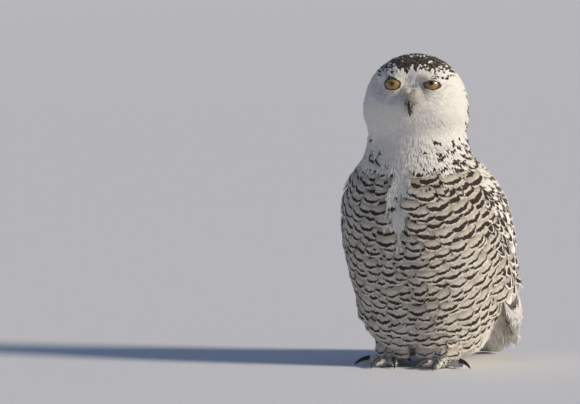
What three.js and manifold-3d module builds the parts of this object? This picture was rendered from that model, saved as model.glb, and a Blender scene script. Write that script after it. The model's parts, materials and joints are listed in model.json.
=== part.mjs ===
// A life-size snowy owl that sits upright on level ground, its legs hidden in its belly feathers.
// Millimetres, +Z up, the breast towards -Y and the bird's left towards +X. The solids hold the outline
// to the tips of the feathers. The root group puts the origin at the bottom centre of the whole bird.
import * as THREE from "three";
import { mergeVertices } from "three/addons/utils/BufferGeometryUtils.js";
import Module from "manifold-3d";

const wasm = await Module();
wasm.setup();

// ---- Driving dimensions --------------------------------------------------------------------------

const HEIGHT = 484; // floor to crown
const GAP = 0.35; // left between solids that meet
const THICK_CUT = 0.5; // width of the cuts that part head, neck and trunk
const BODY_SIDES = 26; // facets round the body
const LEVEL_STEP = 21; // height of one band of facets

const NECK_BASE = 318; // height where the neck leaves the trunk
const HEAD_BASE = 366; // height where the head leaves the neck
const HEAD_AXIS = [1.5, -42]; // X and Y of the upright line that the head turns about
const HEAD_TURN = 15; // degrees that the face turns to the bird's left
const HEAD_ROLL = 2.5; // degrees that the crown leans to the bird's right
const HEAD_CENTRE = 405; // height the roll turns about

const EYE_RADIUS = 16.5; // eyeball
const EYE_SPACING = 57; // between the eye centres
const EYE_LEVEL = 436; // height of the eyes
const EYE_DEPTH = 46.5; // eye centre, ahead of the head's axis
const EYE_OUTWARD = 9; // degrees that each eye looks outward
const EYE_OPENING = [13.8, 9, 8.6]; // half width, half depth and half height of the opening in the feathers

const BILL_BASE = [0, -66, 416.5]; // from the head's axis
const BILL_LENGTH = 31; // along the upper ridge
const BILL_RADIUS = 6.3; // at the base
const BILL_HOOK = 62; // degrees that the ridge curls down

const WING_TOP = 319; // height of the shoulder
const WING_TIP = 27; // height of the longest primaries
const WING_PROUD = 4.5; // how far the folded wing stands out of the body
const WING_DEPTH = 11; // how far it is let into the body
const WING_SIDES = 8; // facets across it

const TAIL_ROOT = [95, 180]; // Y and height where the tail leaves the spine
const TAIL_TIP = [248, 0]; // Y and height where it meets the floor
const TAIL_THICKNESS = 9;
const TAIL_HALF_ROOT = 44; // half width at the root
const TAIL_HALF_FAN = 72; // half width where the fan is widest
const TAIL_ROUND = 0.34; // share of its length that the round end takes

const FLIGHT_LINE = [80, 0.78]; // height at Y = 0 and slope of the line below which flight feathers show

const FORK = { radii: [16, 46, 24], centre: [0, -62, 8] }; // the hollow under the belly between the legs
const LEG_CENTRE = [43, -26]; // X and Y of the feathered leg
const LEG_BOTTOM = 9; // height where its feathers end
const TOE_RADIUS = 9.5; // a feathered toe at its base
const CLAW_RADIUS = 3.6; // at its base
const CLAW_CURL = 43; // degrees that a claw curls down

// ---- Sections ------------------------------------------------------------------------------------

// Level sections of trunk and neck: height, half width, the Y of the front, widest place and back, and
// how square the front is, where 2 is round.
const BODY_SECTIONS = [
  { z: 13, half: 50, front: -36, wide: 40, back: 106, square: 2.7 }, // hem of the belly
  { z: 22, half: 66, front: -54, wide: 34, back: 142, square: 2.7 },
  { z: 38, half: 78, front: -68, wide: 26, back: 165, square: 2.6 },
  { z: 66, half: 94, front: -82, wide: 20, back: 172, square: 2.4 }, // feathers under the tail
  { z: 100, half: 111, front: -95, wide: 16, back: 168, square: 2.2 }, // loins
  { z: 146, half: 126, front: -110, wide: 12, back: 158, square: 2.05 },
  { z: 208, half: 131.5, front: -121, wide: 4, back: 130, square: 2 }, // fullest part of the breast
  { z: 262, half: 123, front: -120, wide: -8, back: 97, square: 2 },
  { z: 300, half: 103, front: -113, wide: -22, back: 67, square: 2 }, // shoulders
  { z: 330, half: 84.5, front: -106, wide: -32, back: 49, square: 2 }, // base of the neck
  { z: 362, half: 78.5, front: -104, wide: -35, back: 40, square: 2 }, // throat
  { z: 392, half: 76, front: -102, wide: -38, back: 34, square: 2 },
  { z: 408, half: 50, front: -88, wide: -40, back: 10, square: 2 }, // inside the head
];

// The head's own sections, whose Y counts from the head's axis.
const HEAD_SECTIONS = [
  { z: 352, half: 52, front: -40, wide: 2, back: 46, square: 2 }, // inside the neck
  { z: 362, half: 69, front: -54, wide: 2, back: 64, square: 2.1 },
  { z: 380, half: 82, front: -69, wide: 2, back: 77, square: 2.2 }, // chin
  { z: 404, half: 82.5, front: -74, wide: 0, back: 77, square: 2.3 }, // bill
  { z: 424, half: 78, front: -73, wide: -2, back: 72, square: 2.3 },
  { z: 443, half: 70.5, front: -69, wide: -3, back: 63, square: 2.3 }, // eyes
  { z: 460, half: 57, front: -57, wide: -3, back: 49, square: 2.2 }, // forehead
  { z: 473, half: 40, front: -41, wide: -3, back: 32, square: 2.1 },
  { z: 481, half: 23, front: -24, wide: -3, back: 16, square: 2 },
  { z: HEIGHT, half: 4, front: -7, wide: -3, back: 1, square: 2 }, // crown
];

// The folded wing follows these sections, which leave the body at the rump and run out over the tail.
const WING_CARRIER = [
  { z: 14, half: 72, front: 0, wide: 132, back: 250, square: 2 },
  { z: 30, half: 88, front: -10, wide: 112, back: 242, square: 2 },
  { z: 60, half: 107, front: -30, wide: 80, back: 226, square: 2 },
  { z: 100, half: 121, front: -70, wide: 46, back: 195, square: 2 },
  { z: 146, half: 129, front: -105, wide: 20, back: 162, square: 2 },
  { z: 208, half: 131.5, front: -121, wide: 4, back: 130, square: 2 },
  { z: 262, half: 124, front: -120, wide: -8, back: 97, square: 2 },
  { z: 300, half: 105, front: -113, wide: -22, back: 64, square: 2 },
  { z: 330, half: 80, front: -106, wide: -32, back: 44, square: 2 },
];

// Where the wing starts and ends round those sections, in degrees from the bird's left towards its back.
const WING_SPAN = [
  { z: WING_TIP, from: 70, to: 86 },
  { z: 45, from: 48, to: 87 },
  { z: 64, from: 14, to: 88 },
  { z: 84, from: -8, to: 87 },
  { z: 130, from: -10, to: 84 },
  { z: 200, from: -17, to: 72 },
  { z: 262, from: -24, to: 54 },
  { z: 298, from: -20, to: 40 },
  { z: WING_TOP, from: -8, to: 24 },
];

// The feathered leg, round its own centre. It widens again inside the belly.
const LEG_SECTIONS = [
  { z: LEG_BOTTOM, half: 14, front: -18, wide: 0, back: 17, square: 2 },
  { z: 14, half: 20, front: -24, wide: 0, back: 24, square: 2 },
  { z: 26, half: 25, front: -28, wide: 0, back: 30, square: 2 },
  { z: 44, half: 26, front: -28, wide: 0, back: 34, square: 2 },
];

// Toes of the left foot: direction in degrees from straight ahead, outward positive, then lengths.
const TOES = [
  { name: "inner", turn: -24, length: 45, claw: 25 },
  { name: "middle", turn: 6, length: 51, claw: 26 },
  { name: "outer", turn: 62, length: 41, claw: 22 },
  { name: "hind", turn: -166, length: 28, claw: 22 },
];

// ---- Materials -----------------------------------------------------------------------------------

const PLUMAGE = { roughness: 0.9, metalness: 0 };
const WHITE_FEATHER = new THREE.MeshStandardMaterial({ color: 0xd9d6cc, ...PLUMAGE });
const BARRED_FEATHER = new THREE.MeshStandardMaterial({ color: 0xb5aea0, ...PLUMAGE });
const SPOTTED_FEATHER = new THREE.MeshStandardMaterial({ color: 0xa6a19a, ...PLUMAGE });
const AMBER_EYE = new THREE.MeshStandardMaterial({ color: 0xb5822b, roughness: 0.08, metalness: 0 });
const BLACK_HORN = new THREE.MeshStandardMaterial({ color: 0x17161a, roughness: 0.35, metalness: 0 });

// ---- Shape helpers -------------------------------------------------------------------------------

const radians = THREE.MathUtils.degToRad;
const SECTION_VALUES = ["half", "front", "wide", "back", "square"];

// Reads the named values of a list of sections at any height, along smooth curves.
function follow(sections, names) {
  const heights = sections.map((s) => s.z);
  const values = sections.flatMap((s) => names.map((n) => s[n]));
  const curve = new THREE.CubicInterpolant(heights, values, names.length);
  return (z) => Array.from(curve.evaluate(z));
}

// The point at an angle round a level section: 0 is the bird's left and 90 degrees its back.
function roundSection([half, front, wide, back, square], angle, proud = 0) {
  const power = Math.sin(angle) < 0 ? 2 / square : 1;
  const squared = (value) => Math.sign(value) * Math.abs(value) ** power;
  const [across, along] = [squared(Math.cos(angle)), squared(Math.sin(angle))];
  const reach = along > 0 ? back - wide : wide - front;
  return [across * (half + proud), wide + along * (reach + proud)];
}

// A closed mesh from rings of points, each ring with the same number, capped at both ends.
function skinOver(rings) {
  const count = rings[0].length;
  const points = rings.flat(2);
  const faces = [];
  for (let level = 0; level < rings.length - 1; level++) {
    for (let i = 0; i < count; i++) {
      const next = (i + 1) % count;
      const [a, b] = [level * count + i, level * count + next];
      faces.push(a, b, b + count, a, b + count, a + count);
    }
  }
  [rings[0], rings.at(-1)].forEach((ring, isTop) => {
    const middle = points.length / 3;
    points.push(...[0, 1, 2].map((k) => ring.reduce((sum, p) => sum + p[k], 0) / count));
    const base = isTop ? (rings.length - 1) * count : 0;
    for (let i = 0; i < count; i++) {
      const [a, b] = [base + i, base + ((i + 1) % count)];
      faces.push(...(isTop ? [a, b, middle] : [b, a, middle]));
    }
  });
  const geometry = new THREE.BufferGeometry();
  geometry.setAttribute("position", new THREE.Float32BufferAttribute(points, 3));
  geometry.setIndex(faces);
  return geometry;
}

// Heights from low to high, closer together towards both ends so that domes come out round.
function levels(low, high, step) {
  const count = Math.ceil((high - low) / step) + 3;
  return Array.from({ length: count + 1 }, (_, i) => {
    const even = i / count;
    const domed = (1 - Math.cos(Math.PI * even)) / 2;
    return low + (high - low) * THREE.MathUtils.lerp(even, domed, 0.6);
  });
}

// A body of level sections. grow makes it larger all round, which leaves a gap where it is cut away.
function loft(sections, sides, step, grow = 0) {
  const at = follow(sections, SECTION_VALUES);
  const [low, high] = [sections[0].z, sections.at(-1).z];
  const rings = levels(low, high, step).map((z) => {
    const away = z === low ? -grow : z === high ? grow : 0;
    return Array.from({ length: sides }, (_, i) => {
      const angle = (2 * Math.PI * i) / sides;
      return [...roundSection(at(z), angle, grow), z + away];
    });
  });
  return skinOver(rings);
}

// A horn that curls in an arc from its base: forward and then down, in the plane X = 0.
function horn(length, radius, curl, flatten, grow = 0) {
  const steps = 6;
  const sides = 9;
  const bend = radians(curl) / steps;
  const rings = [];
  let [y, z, pitch] = [0, 0, 0];
  for (let i = 0; i <= steps; i++) {
    const taper = Math.sqrt(1 - (0.985 * i) / steps);
    const size = radius * taper + grow;
    rings.push(
      Array.from({ length: sides }, (_, k) => {
        const angle = (2 * Math.PI * k) / sides;
        const across = Math.cos(angle) * size;
        const up = Math.sin(angle) * size * flatten;
        return [across, y - Math.sin(pitch) * up, z + Math.cos(pitch) * up];
      }),
    );
    y -= (Math.cos(pitch) * length) / steps;
    z -= (Math.sin(pitch) * length) / steps;
    pitch += bend;
  }
  return skinOver(rings);
}

// ---- Solids --------------------------------------------------------------------------------------

// A closed three.js geometry as a solid that can be joined and cut.
function solid(geometry, matrix = new THREE.Matrix4()) {
  const bare = geometry.clone().applyMatrix4(matrix);
  bare.deleteAttribute("normal");
  bare.deleteAttribute("uv");
  const merged = mergeVertices(bare, 1e-3);
  const triVerts = new Uint32Array(merged.index.array);
  if (matrix.determinant() < 0) {
    for (let i = 0; i < triVerts.length; i += 3) {
      [triVerts[i + 1], triVerts[i + 2]] = [triVerts[i + 2], triVerts[i + 1]];
    }
  }
  const vertProperties = new Float32Array(merged.attributes.position.array);
  return new wasm.Manifold(new wasm.Mesh({ numProp: 3, vertProperties, triVerts }));
}

const joined = (solids) => solids.reduce((whole, s) => whole.add(s));
const without = (body, cutters) => cutters.reduce((left, s) => left.subtract(s), body);

// Everything between two heights.
function between(low, high) {
  const slab = new THREE.BoxGeometry(2 * HEIGHT, 2 * HEIGHT, high - low);
  return solid(slab, new THREE.Matrix4().makeTranslation(0, 0, (low + high) / 2));
}

// The largest body of a cut solid, which drops the crumbs that a cut can leave.
function largest(cut) {
  return cut.decompose().reduce((a, b) => (b.volume() > a.volume() ? b : a));
}

function mesh(name, cut, material) {
  const { numProp, vertProperties, triVerts } = largest(cut).getMesh();
  const geometry = new THREE.BufferGeometry();
  const points = new THREE.InterleavedBuffer(vertProperties, numProp);
  geometry.setAttribute("position", new THREE.InterleavedBufferAttribute(points, 3, 0));
  geometry.setIndex(new THREE.BufferAttribute(triVerts, 1));
  const made = new THREE.Mesh(geometry, material);
  made.name = name;
  return made;
}

// ---- Head ----------------------------------------------------------------------------------------

// Places what is measured from the head's axis: the turn of the face, the lean and the axis itself.
const HEAD_PLACE = new THREE.Matrix4()
  .makeTranslation(...HEAD_AXIS, HEAD_CENTRE)
  .multiply(new THREE.Matrix4().makeRotationZ(radians(HEAD_TURN)))
  .multiply(new THREE.Matrix4().makeRotationY(radians(HEAD_ROLL)))
  .multiply(new THREE.Matrix4().makeTranslation(0, 0, -HEAD_CENTRE));

// A ball at an eye, turned to look outward, with a radius for each direction.
function eyeBall(side, radii, ahead) {
  const [facetsRound, facetsDown] = [16, 10];
  const place = HEAD_PLACE.clone()
    .multiply(new THREE.Matrix4().makeTranslation((side * EYE_SPACING) / 2, -EYE_DEPTH, EYE_LEVEL))
    .multiply(new THREE.Matrix4().makeRotationZ(radians(side * EYE_OUTWARD)))
    .multiply(new THREE.Matrix4().makeTranslation(0, -ahead, 0))
    .multiply(new THREE.Matrix4().makeScale(...radii));
  return solid(new THREE.SphereGeometry(1, facetsRound, facetsDown), place);
}

const eye = (side, grow = 0) => eyeBall(side, Array(3).fill(EYE_RADIUS + grow), 0);
const eyeOpening = (side) => eyeBall(side, EYE_OPENING, EYE_RADIUS);

// The upper half of the bill is a hooked horn. The lower is shorter and lies behind it.
function bill(grow = 0) {
  const upperTilt = new THREE.Matrix4().makeRotationX(radians(28));
  const lowerTilt = new THREE.Matrix4().makeRotationX(radians(50));
  const lowerPlace = [0, BILL_BASE[1] + 1, BILL_BASE[2] - 12];
  const place = (point, tilt) =>
    HEAD_PLACE.clone().multiply(new THREE.Matrix4().makeTranslation(...point)).multiply(tilt);
  return {
    upper: solid(horn(BILL_LENGTH, BILL_RADIUS, BILL_HOOK, 1.1, grow), place(BILL_BASE, upperTilt)),
    lower: solid(horn(BILL_LENGTH * 0.62, BILL_RADIUS * 0.7, BILL_HOOK / 4, 0.7, grow), place(lowerPlace, lowerTilt)),
  };
}

// ---- Wings and tail ------------------------------------------------------------------------------

// A folded wing is a curved shell. Each level is an arc outside and one inside, joined at their ends.
function wing(side, grow = 0) {
  const sectionAt = follow(WING_CARRIER, SECTION_VALUES);
  const spanAt = follow(WING_SPAN, ["from", "to"]);
  const rings = levels(WING_TIP, WING_TOP, LEVEL_STEP * 1.25).map((z) => {
    const section = sectionAt(z);
    const [from, to] = spanAt(z);
    const spread = (grow / section[0]) * THREE.MathUtils.RAD2DEG;
    const fromEnd = Math.min(z - WING_TIP, WING_TOP - z) / (WING_TOP - WING_TIP);
    const body = Math.min(1, 0.45 + 4 * fromEnd); // thins to both ends
    const arc = (proud) =>
      Array.from({ length: WING_SIDES + 1 }, (_, i) => {
        const degrees = THREE.MathUtils.lerp(from - spread, to + spread, i / WING_SIDES);
        const edge = Math.sin((Math.PI * i) / WING_SIDES) ** 0.5; // rounds the long edges
        const [x, y] = roundSection(section, radians(degrees), proud * (0.4 + 0.6 * edge));
        return [x, y, z + (z === WING_TIP ? -grow : z === WING_TOP ? grow : 0)];
      });
    const outer = arc(WING_PROUD * body + grow);
    const inner = arc(-WING_DEPTH * body - grow).reverse();
    return [...outer, ...inner];
  });
  return solid(skinOver(rings), new THREE.Matrix4().makeScale(side, 1, 1));
}

// The tail is a flat fan with a round end that slopes down to the floor, where it is cut level.
function tail(grow = 0) {
  const [rise, run] = [TAIL_ROOT[1] - TAIL_TIP[1], TAIL_TIP[0] - TAIL_ROOT[0]];
  const length = Math.hypot(rise, run);
  const [root, fan] = [TAIL_HALF_ROOT + grow, TAIL_HALF_FAN + grow];
  const widest = length * (1 - TAIL_ROUND);
  const outline = new THREE.Shape();
  outline.moveTo(-root, 0);
  outline.lineTo(-fan, widest);
  outline.absellipse(0, widest, fan, length - widest + grow, Math.PI, 0, true);
  outline.lineTo(root, 0);
  outline.closePath();
  const depth = TAIL_THICKNESS + 2 * grow;
  const slab = new THREE.ExtrudeGeometry(outline, { depth, bevelEnabled: false, curveSegments: 7 });
  slab.translate(0, 0, -depth / 2);
  const place = new THREE.Matrix4()
    .makeTranslation(0, ...TAIL_ROOT)
    .multiply(new THREE.Matrix4().makeRotationX(-Math.atan2(rise, run)));
  return solid(slab, place);
}

// ---- Legs and feet -------------------------------------------------------------------------------

function leg(side, grow = 0) {
  const [x, y] = LEG_CENTRE;
  return solid(loft(LEG_SECTIONS, 14, LEVEL_STEP, grow), new THREE.Matrix4().makeTranslation(side * x, y, 0));
}

// Turns what points straight ahead into a toe's direction, from the middle of the foot.
function toePlace(side, toe, ahead, height) {
  return new THREE.Matrix4()
    .makeTranslation(side * LEG_CENTRE[0], LEG_CENTRE[1], height)
    .multiply(new THREE.Matrix4().makeRotationZ(radians(side * toe.turn)))
    .multiply(new THREE.Matrix4().makeTranslation(0, -ahead, 0));
}

// A foot is a low pad with four feathered toes, cut level at the floor.
function foot(side, grow = 0) {
  const height = TOE_RADIUS * 0.82;
  const tipShare = 0.8; // a toe's radius at its tip
  const sides = 8;
  const toes = TOES.map((toe) => {
    const steps = 4;
    const rings = Array.from({ length: steps + 1 }, (_, i) => {
      const share = i / steps;
      const dome = Math.sqrt(1 - Math.max(0, (share - 0.6) / 0.4) ** 2 * 0.9);
      const size = TOE_RADIUS * THREE.MathUtils.lerp(1, tipShare, share) * dome + grow;
      return Array.from({ length: sides }, (_, k) => {
        const angle = (2 * Math.PI * k) / sides;
        return [Math.cos(angle) * size, -share * (toe.length + grow), Math.sin(angle) * size];
      });
    });
    return solid(skinOver(rings), toePlace(side, toe, 0, height));
  });
  const padRadius = TOE_RADIUS * 1.45 + grow;
  const pad = new THREE.SphereGeometry(1, 12, 6);
  const padPlace = toePlace(side, TOES[1], 0, height).multiply(
    new THREE.Matrix4().makeScale(padRadius, padRadius, padRadius * 0.8),
  );
  return joined([...toes, solid(pad, padPlace)]).subtract(between(-HEIGHT, 0));
}

// A claw starts inside the toe and curls down to just above the floor.
function claw(side, toe, grow = 0) {
  const inside = 5;
  const bare = toe.claw + inside;
  const place = toePlace(side, toe, toe.length - inside, TOE_RADIUS * 1.3);
  return solid(horn(bare, CLAW_RADIUS, CLAW_CURL, 1.15, grow), place);
}

// ---- Assembly ------------------------------------------------------------------------------------

const SIDES = [
  { word: "left", side: 1 },
  { word: "right", side: -1 },
];

const headWhole = solid(loft(HEAD_SECTIONS, BODY_SIDES, LEVEL_STEP), HEAD_PLACE);
const bodyWhole = solid(loft(BODY_SECTIONS, BODY_SIDES, LEVEL_STEP));
const whole = bodyWhole.add(headWhole);

// Everything behind and below the line where the flight feathers come out from under the coverts.
function flightSpace(grow = 0) {
  const [height, slope] = FLIGHT_LINE;
  const size = 3 * HEIGHT;
  const block = new THREE.BoxGeometry(size, size, size);
  const place = new THREE.Matrix4()
    .makeTranslation(0, 0, height)
    .multiply(new THREE.Matrix4().makeRotationX(Math.atan(slope)))
    .multiply(new THREE.Matrix4().makeTranslation(0, 0, grow - size / 2));
  return solid(block, place);
}

const half = THICK_CUT / 2;
const headCutters = SIDES.flatMap(({ side }) => [eye(side, GAP), eyeOpening(side)]);
const billGrown = bill(GAP);
const head = without(whole.intersect(between(HEAD_BASE + half, 2 * HEIGHT)), [
  ...headCutters,
  billGrown.upper,
  billGrown.lower,
]);
const neck = whole.intersect(between(NECK_BASE + half, HEAD_BASE - half));
const wingsGrown = SIDES.map(({ side }) => wing(side, GAP));
const trunkWhole = whole.intersect(between(-HEIGHT, NECK_BASE - half));
const neckCut = without(neck, wingsGrown);
const forkBall = new THREE.SphereGeometry(1, 14, 8);
const fork = solid(forkBall, new THREE.Matrix4().makeTranslation(...FORK.centre).scale(new THREE.Vector3(...FORK.radii)));
const feetGrown = SIDES.flatMap(({ side }) => [foot(side, GAP), ...TOES.map((toe) => claw(side, toe, GAP))]);
const trunk = without(trunkWhole, [...wingsGrown, fork, ...feetGrown]);
const trunkGrown = solid(loft(BODY_SECTIONS, BODY_SIDES, LEVEL_STEP, GAP)).subtract(fork);
const tailCut = without(tail(), [trunkGrown, ...wingsGrown, between(-HEIGHT, 0)]);

const owl = new THREE.Group();
owl.add(mesh("head", head, WHITE_FEATHER));
owl.add(mesh("neck", neckCut, WHITE_FEATHER));
owl.add(mesh("trunk", trunk, BARRED_FEATHER));
owl.add(mesh("tail", tailCut, WHITE_FEATHER));
const { upper, lower } = bill();
owl.add(mesh("bill_upper", upper, BLACK_HORN));
owl.add(mesh("bill_lower", lower.subtract(billGrown.upper), BLACK_HORN));

for (const { word, side } of SIDES) {
  owl.add(mesh(`eye_${word}`, eye(side), AMBER_EYE));
  owl.add(mesh(`wing_${word}`, wing(side).subtract(flightSpace(half)), SPOTTED_FEATHER));
  owl.add(mesh(`flight_${word}`, wing(side).intersect(flightSpace(-half)), SPOTTED_FEATHER));
  const claws = TOES.map((toe) => claw(side, toe, GAP));
  owl.add(mesh(`leg_${word}`, without(leg(side), [trunkGrown, ...feetGrown]), WHITE_FEATHER));
  owl.add(mesh(`foot_${word}`, without(foot(side), claws), WHITE_FEATHER));
  for (const toe of TOES) {
    owl.add(mesh(`claw_${word}_${toe.name}`, claw(side, toe), BLACK_HORN));
  }
}

// The origin goes to the middle of the bird's box, at floor level.
const middle = new THREE.Box3().setFromObject(owl).getCenter(new THREE.Vector3());
owl.position.set(-middle.x, -middle.y, 0);

export default owl;
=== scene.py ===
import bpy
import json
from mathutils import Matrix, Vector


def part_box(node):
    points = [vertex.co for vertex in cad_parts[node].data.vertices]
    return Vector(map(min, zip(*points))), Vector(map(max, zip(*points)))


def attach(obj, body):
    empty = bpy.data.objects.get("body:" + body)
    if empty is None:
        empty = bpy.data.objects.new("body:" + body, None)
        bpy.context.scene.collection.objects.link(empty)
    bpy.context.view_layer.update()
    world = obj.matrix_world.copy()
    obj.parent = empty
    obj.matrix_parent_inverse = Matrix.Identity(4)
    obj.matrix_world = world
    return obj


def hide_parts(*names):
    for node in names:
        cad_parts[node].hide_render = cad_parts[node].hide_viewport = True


bl_info = {
    "name": "Snowy Owl",
    "version": (1, 0, 0),
    "blender": (4, 5, 0),
    "location": "3D View > Sidebar > Owl",
    "description": "Dresses the packed frame of a standing snowy owl in skin, horn, eyes and feathers",
    "category": "Object",
}

import json
import math

import bmesh
import bpy
import numpy as np
from bpy.props import FloatProperty, FloatVectorProperty, IntProperty, PointerProperty
from mathutils import Matrix, Vector
from mathutils.bvhtree import BVHTree

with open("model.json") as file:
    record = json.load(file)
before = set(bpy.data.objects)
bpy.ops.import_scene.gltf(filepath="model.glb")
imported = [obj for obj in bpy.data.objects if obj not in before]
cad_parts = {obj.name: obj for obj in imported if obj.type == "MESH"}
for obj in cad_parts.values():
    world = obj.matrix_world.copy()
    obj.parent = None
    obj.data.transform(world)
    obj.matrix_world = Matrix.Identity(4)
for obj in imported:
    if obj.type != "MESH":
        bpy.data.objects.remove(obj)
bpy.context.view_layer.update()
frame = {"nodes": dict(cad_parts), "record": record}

MM = 0.001
BODY = "root"
SIDES = {"left": 1, "right": -1}
FLESH = ["head", "neck", "trunk"]
FLESH += [part + side for part in ("wing_", "leg_", "foot_") for side in SIDES]
HEAD, NECK, TRUNK, WINGS, LEGS, FEET = 0, 1, 2, (3, 4), (5, 6), (7, 8)


# ------------------------------------------------------------------ vectors

def unit(vectors):
    """Vectors at length one."""
    lengths = np.linalg.norm(vectors, axis=-1, keepdims=True)
    return vectors / np.maximum(lengths, 1e-12)


def dot(a, b):
    """Row by row products, kept as a column."""
    return (a * b).sum(-1, keepdims=True)


def ease(value, low, high):
    """0 below low, 1 above high and a smooth step between; low may be the larger."""
    t = np.clip((value - low) / (high - low), 0, 1)
    return t * t * (3 - 2 * t)


def flat_on(vectors, normals):
    """Vectors laid down on the surface that has these normals."""
    return unit(vectors - normals * dot(vectors, normals))


# ---------------------------------------------------------------- landmarks

def centre_of(node):
    low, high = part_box(node)
    return np.array((low + high) / 2)


EYE_CENTRES = {side: centre_of("eye_" + side) for side in SIDES}
EYE_RADIUS = float((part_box("eye_left")[1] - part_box("eye_left")[0]).x) / 2
EYE_DEPTH = 46.5 * MM           # from the head's axis forward to the eyes
UP = np.array((0.0, 0.0, 1.0))
LEFTWARD = unit(EYE_CENTRES["left"] - EYE_CENTRES["right"])
FORWARD = unit(np.cross(LEFTWARD, UP))
HEAD_UP = np.cross(FORWARD, LEFTWARD)
HEAD_AXES = np.stack((LEFTWARD, -FORWARD, HEAD_UP), axis=1)
HEAD_ORIGIN = (EYE_CENTRES["left"] + EYE_CENTRES["right"]) / 2 - FORWARD * EYE_DEPTH
BILL_BASE = np.array((0, -66, -19.5)) * MM
SOLES = {}
for mount in frame["record"]["mounts"]:
    if mount["name"].startswith("sole_"):
        SOLES[mount["name"][5:]] = np.array(mount["pos_m"])


def in_head(points):
    """Points measured from the head's axis at eye level: leftward, backward and up."""
    return (points - HEAD_ORIGIN) @ HEAD_AXES


def from_head(points):
    """The way back from in_head."""
    return points @ HEAD_AXES.T + HEAD_ORIGIN


# ------------------------------------------------------------------ settings

def length(name, description, size):
    return FloatProperty(name=name, description=description, default=size * MM, unit="LENGTH")


def angle(name, description, degrees):
    return FloatProperty(
        name=name, description=description, default=math.radians(degrees), subtype="ANGLE"
    )


def colour(name, description, shade):
    return FloatVectorProperty(
        name=name, description=description, default=shade, size=3, subtype="COLOR", min=0, max=1
    )


class OwlSkin(bpy.types.PropertyGroup):
    """The body under the feathers."""
    grid: length("Grid", "Edge of one face of the skin", 3.2)
    head_depth: length("Head depth", "Depth of the coat over the head", 3.4)
    body_depth: length("Body depth", "Depth of the coat over neck and trunk", 6.0)
    wing_depth: length("Wing depth", "Depth of the coat over the wings", 4.5)
    foot_depth: length("Foot depth", "Depth of the coat over legs and feet", 2.6)
    brow: length("Brow", "How far the brows stand over the eyes", 2.6)
    hollow: length("Hollow", "How deep the face sinks beside the bill", 2.4)
    channel: length("Parting", "Depth of the parting down the breast", 3.2)


class OwlEyes(bpy.types.PropertyGroup):
    """Eyeballs and lids."""
    iris: length("Iris", "Radius of the iris", 11.6)
    pupil: length("Pupil", "Radius of the pupil", 3.1)
    bulge: length("Cornea", "How far the cornea stands off the ball", 1.5)
    lid: length("Lid", "Thickness of the lid's edge", 0.9)
    inner: length("Inner corner", "From the pupil to the eye's corner by the bill", 11.4)
    outer: length("Outer corner", "From the pupil to the eye's outer corner", 13.6)
    lower: length("Lower lid", "From the pupil down to the lower lid", 8.6)
    upper_left: length("Left upper lid", "From the left pupil up to its lid", 3.2)
    upper_right: length("Right upper lid", "From the right pupil up to its lid", 7.2)
    turn_left: angle("Left turn", "How far the left eye looks outward", 1)
    turn_right: angle("Right turn", "How far the right eye looks outward", 9)
    raised_left: angle("Left raised", "How far the left eye looks up", 14)
    raised_right: angle("Right raised", "How far the right eye looks up", 0)
    gold: colour("Iris colour", "Colour of the iris", (0.42, 0.235, 0.03))


class OwlHorn(bpy.types.PropertyGroup):
    """Bill and claws."""
    bill_length: length("Bill length", "Length of the upper bill along its curve", 31)
    bill_width: length("Bill width", "Half the width of the bill at its root", 6.3)
    claw_width: length("Claw width", "Half the width of a claw at its root", 3.6)
    shade: colour("Horn colour", "Colour of bill and claws", (0.018, 0.017, 0.018))


class OwlCoat(bpy.types.PropertyGroup):
    """Feathers and their marks."""
    row: length("Row", "Height between two rows of breast feathers", 13.5)
    column: length("Column", "Distance between breast feathers along a row", 20.5)
    breast_length: length("Breast length", "Length of a breast feather", 46)
    breast_width: length("Breast width", "Half the width of a breast feather", 16.6)
    face_length: length("Face length", "Length of a tuft on the face", 10)
    face_space: length("Face spacing", "Distance between tufts on the face", 2.1)
    bib_length: length("Bib length", "Length of a tuft on neck and bib", 24)
    bib_space: length("Bib spacing", "Distance between tufts on neck and bib", 3.7)
    white: colour("White", "Colour of the plain plumage", (0.86, 0.845, 0.80))
    # Darkened, this down colour is also painted shade towards each feather's root, under the row above.
    grey: colour("Down", "Colour of the down at a feather's root", (0.46, 0.385, 0.275))
    dark: colour("Marks", "Colour of bars and spots", (0.040, 0.027, 0.019))
    seed: IntProperty(name="Seed", description="Draws the feathers' small differences", default=7)


class OwlStage(bpy.types.PropertyGroup):
    """Camera, light and floor."""
    distance: FloatProperty(
        name="Distance", description="From the camera to the owl", default=10, unit="LENGTH"
    )
    lens: FloatProperty(
        name="Lens", description="Focal length of the camera", default=403, unit="CAMERA"
    )
    turn: angle("Turn", "How far the camera stands to the owl's left", 23.2)
    rise: angle("Rise", "The camera's height above the horizon", 3.56)
    key: FloatProperty(name="Key", description="Strength of the warm main light", default=3.3)
    fill: FloatProperty(name="Fill", description="Strength of the cool light", default=0.1)
    floor: colour("Floor", "Colour of floor and backdrop", (0.94, 0.94, 0.94))


SETTINGS = {
    "owl_skin": OwlSkin,
    "owl_eyes": OwlEyes,
    "owl_horn": OwlHorn,
    "owl_coat": OwlCoat,
    "owl_stage": OwlStage,
}


def settings(name):
    return getattr(bpy.context.scene, name)


# ------------------------------------------------------------------ modelling

def deselect():
    if bpy.context.object and bpy.context.object.mode != "OBJECT":
        bpy.ops.object.mode_set(mode="OBJECT")
    bpy.ops.object.select_all(action="DESELECT")


def activate(obj):
    deselect()
    obj.select_set(True)
    bpy.context.view_layer.objects.active = obj
    return obj


def modified(obj, kind, **values):
    """Puts one modifier on the object and applies it."""
    activate(obj)
    modifier = obj.modifiers.new(kind.title(), kind)
    for key, value in values.items():
        setattr(modifier, key, value)
    bpy.ops.object.modifier_apply(modifier=modifier.name)
    return obj


def joined(objects, name):
    deselect()
    for obj in objects:
        obj.select_set(True)
    bpy.context.view_layer.objects.active = objects[0]
    if len(objects) > 1:
        bpy.ops.object.join()
    objects[0].name = name
    objects[0].data.name = name
    return objects[0]


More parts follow.
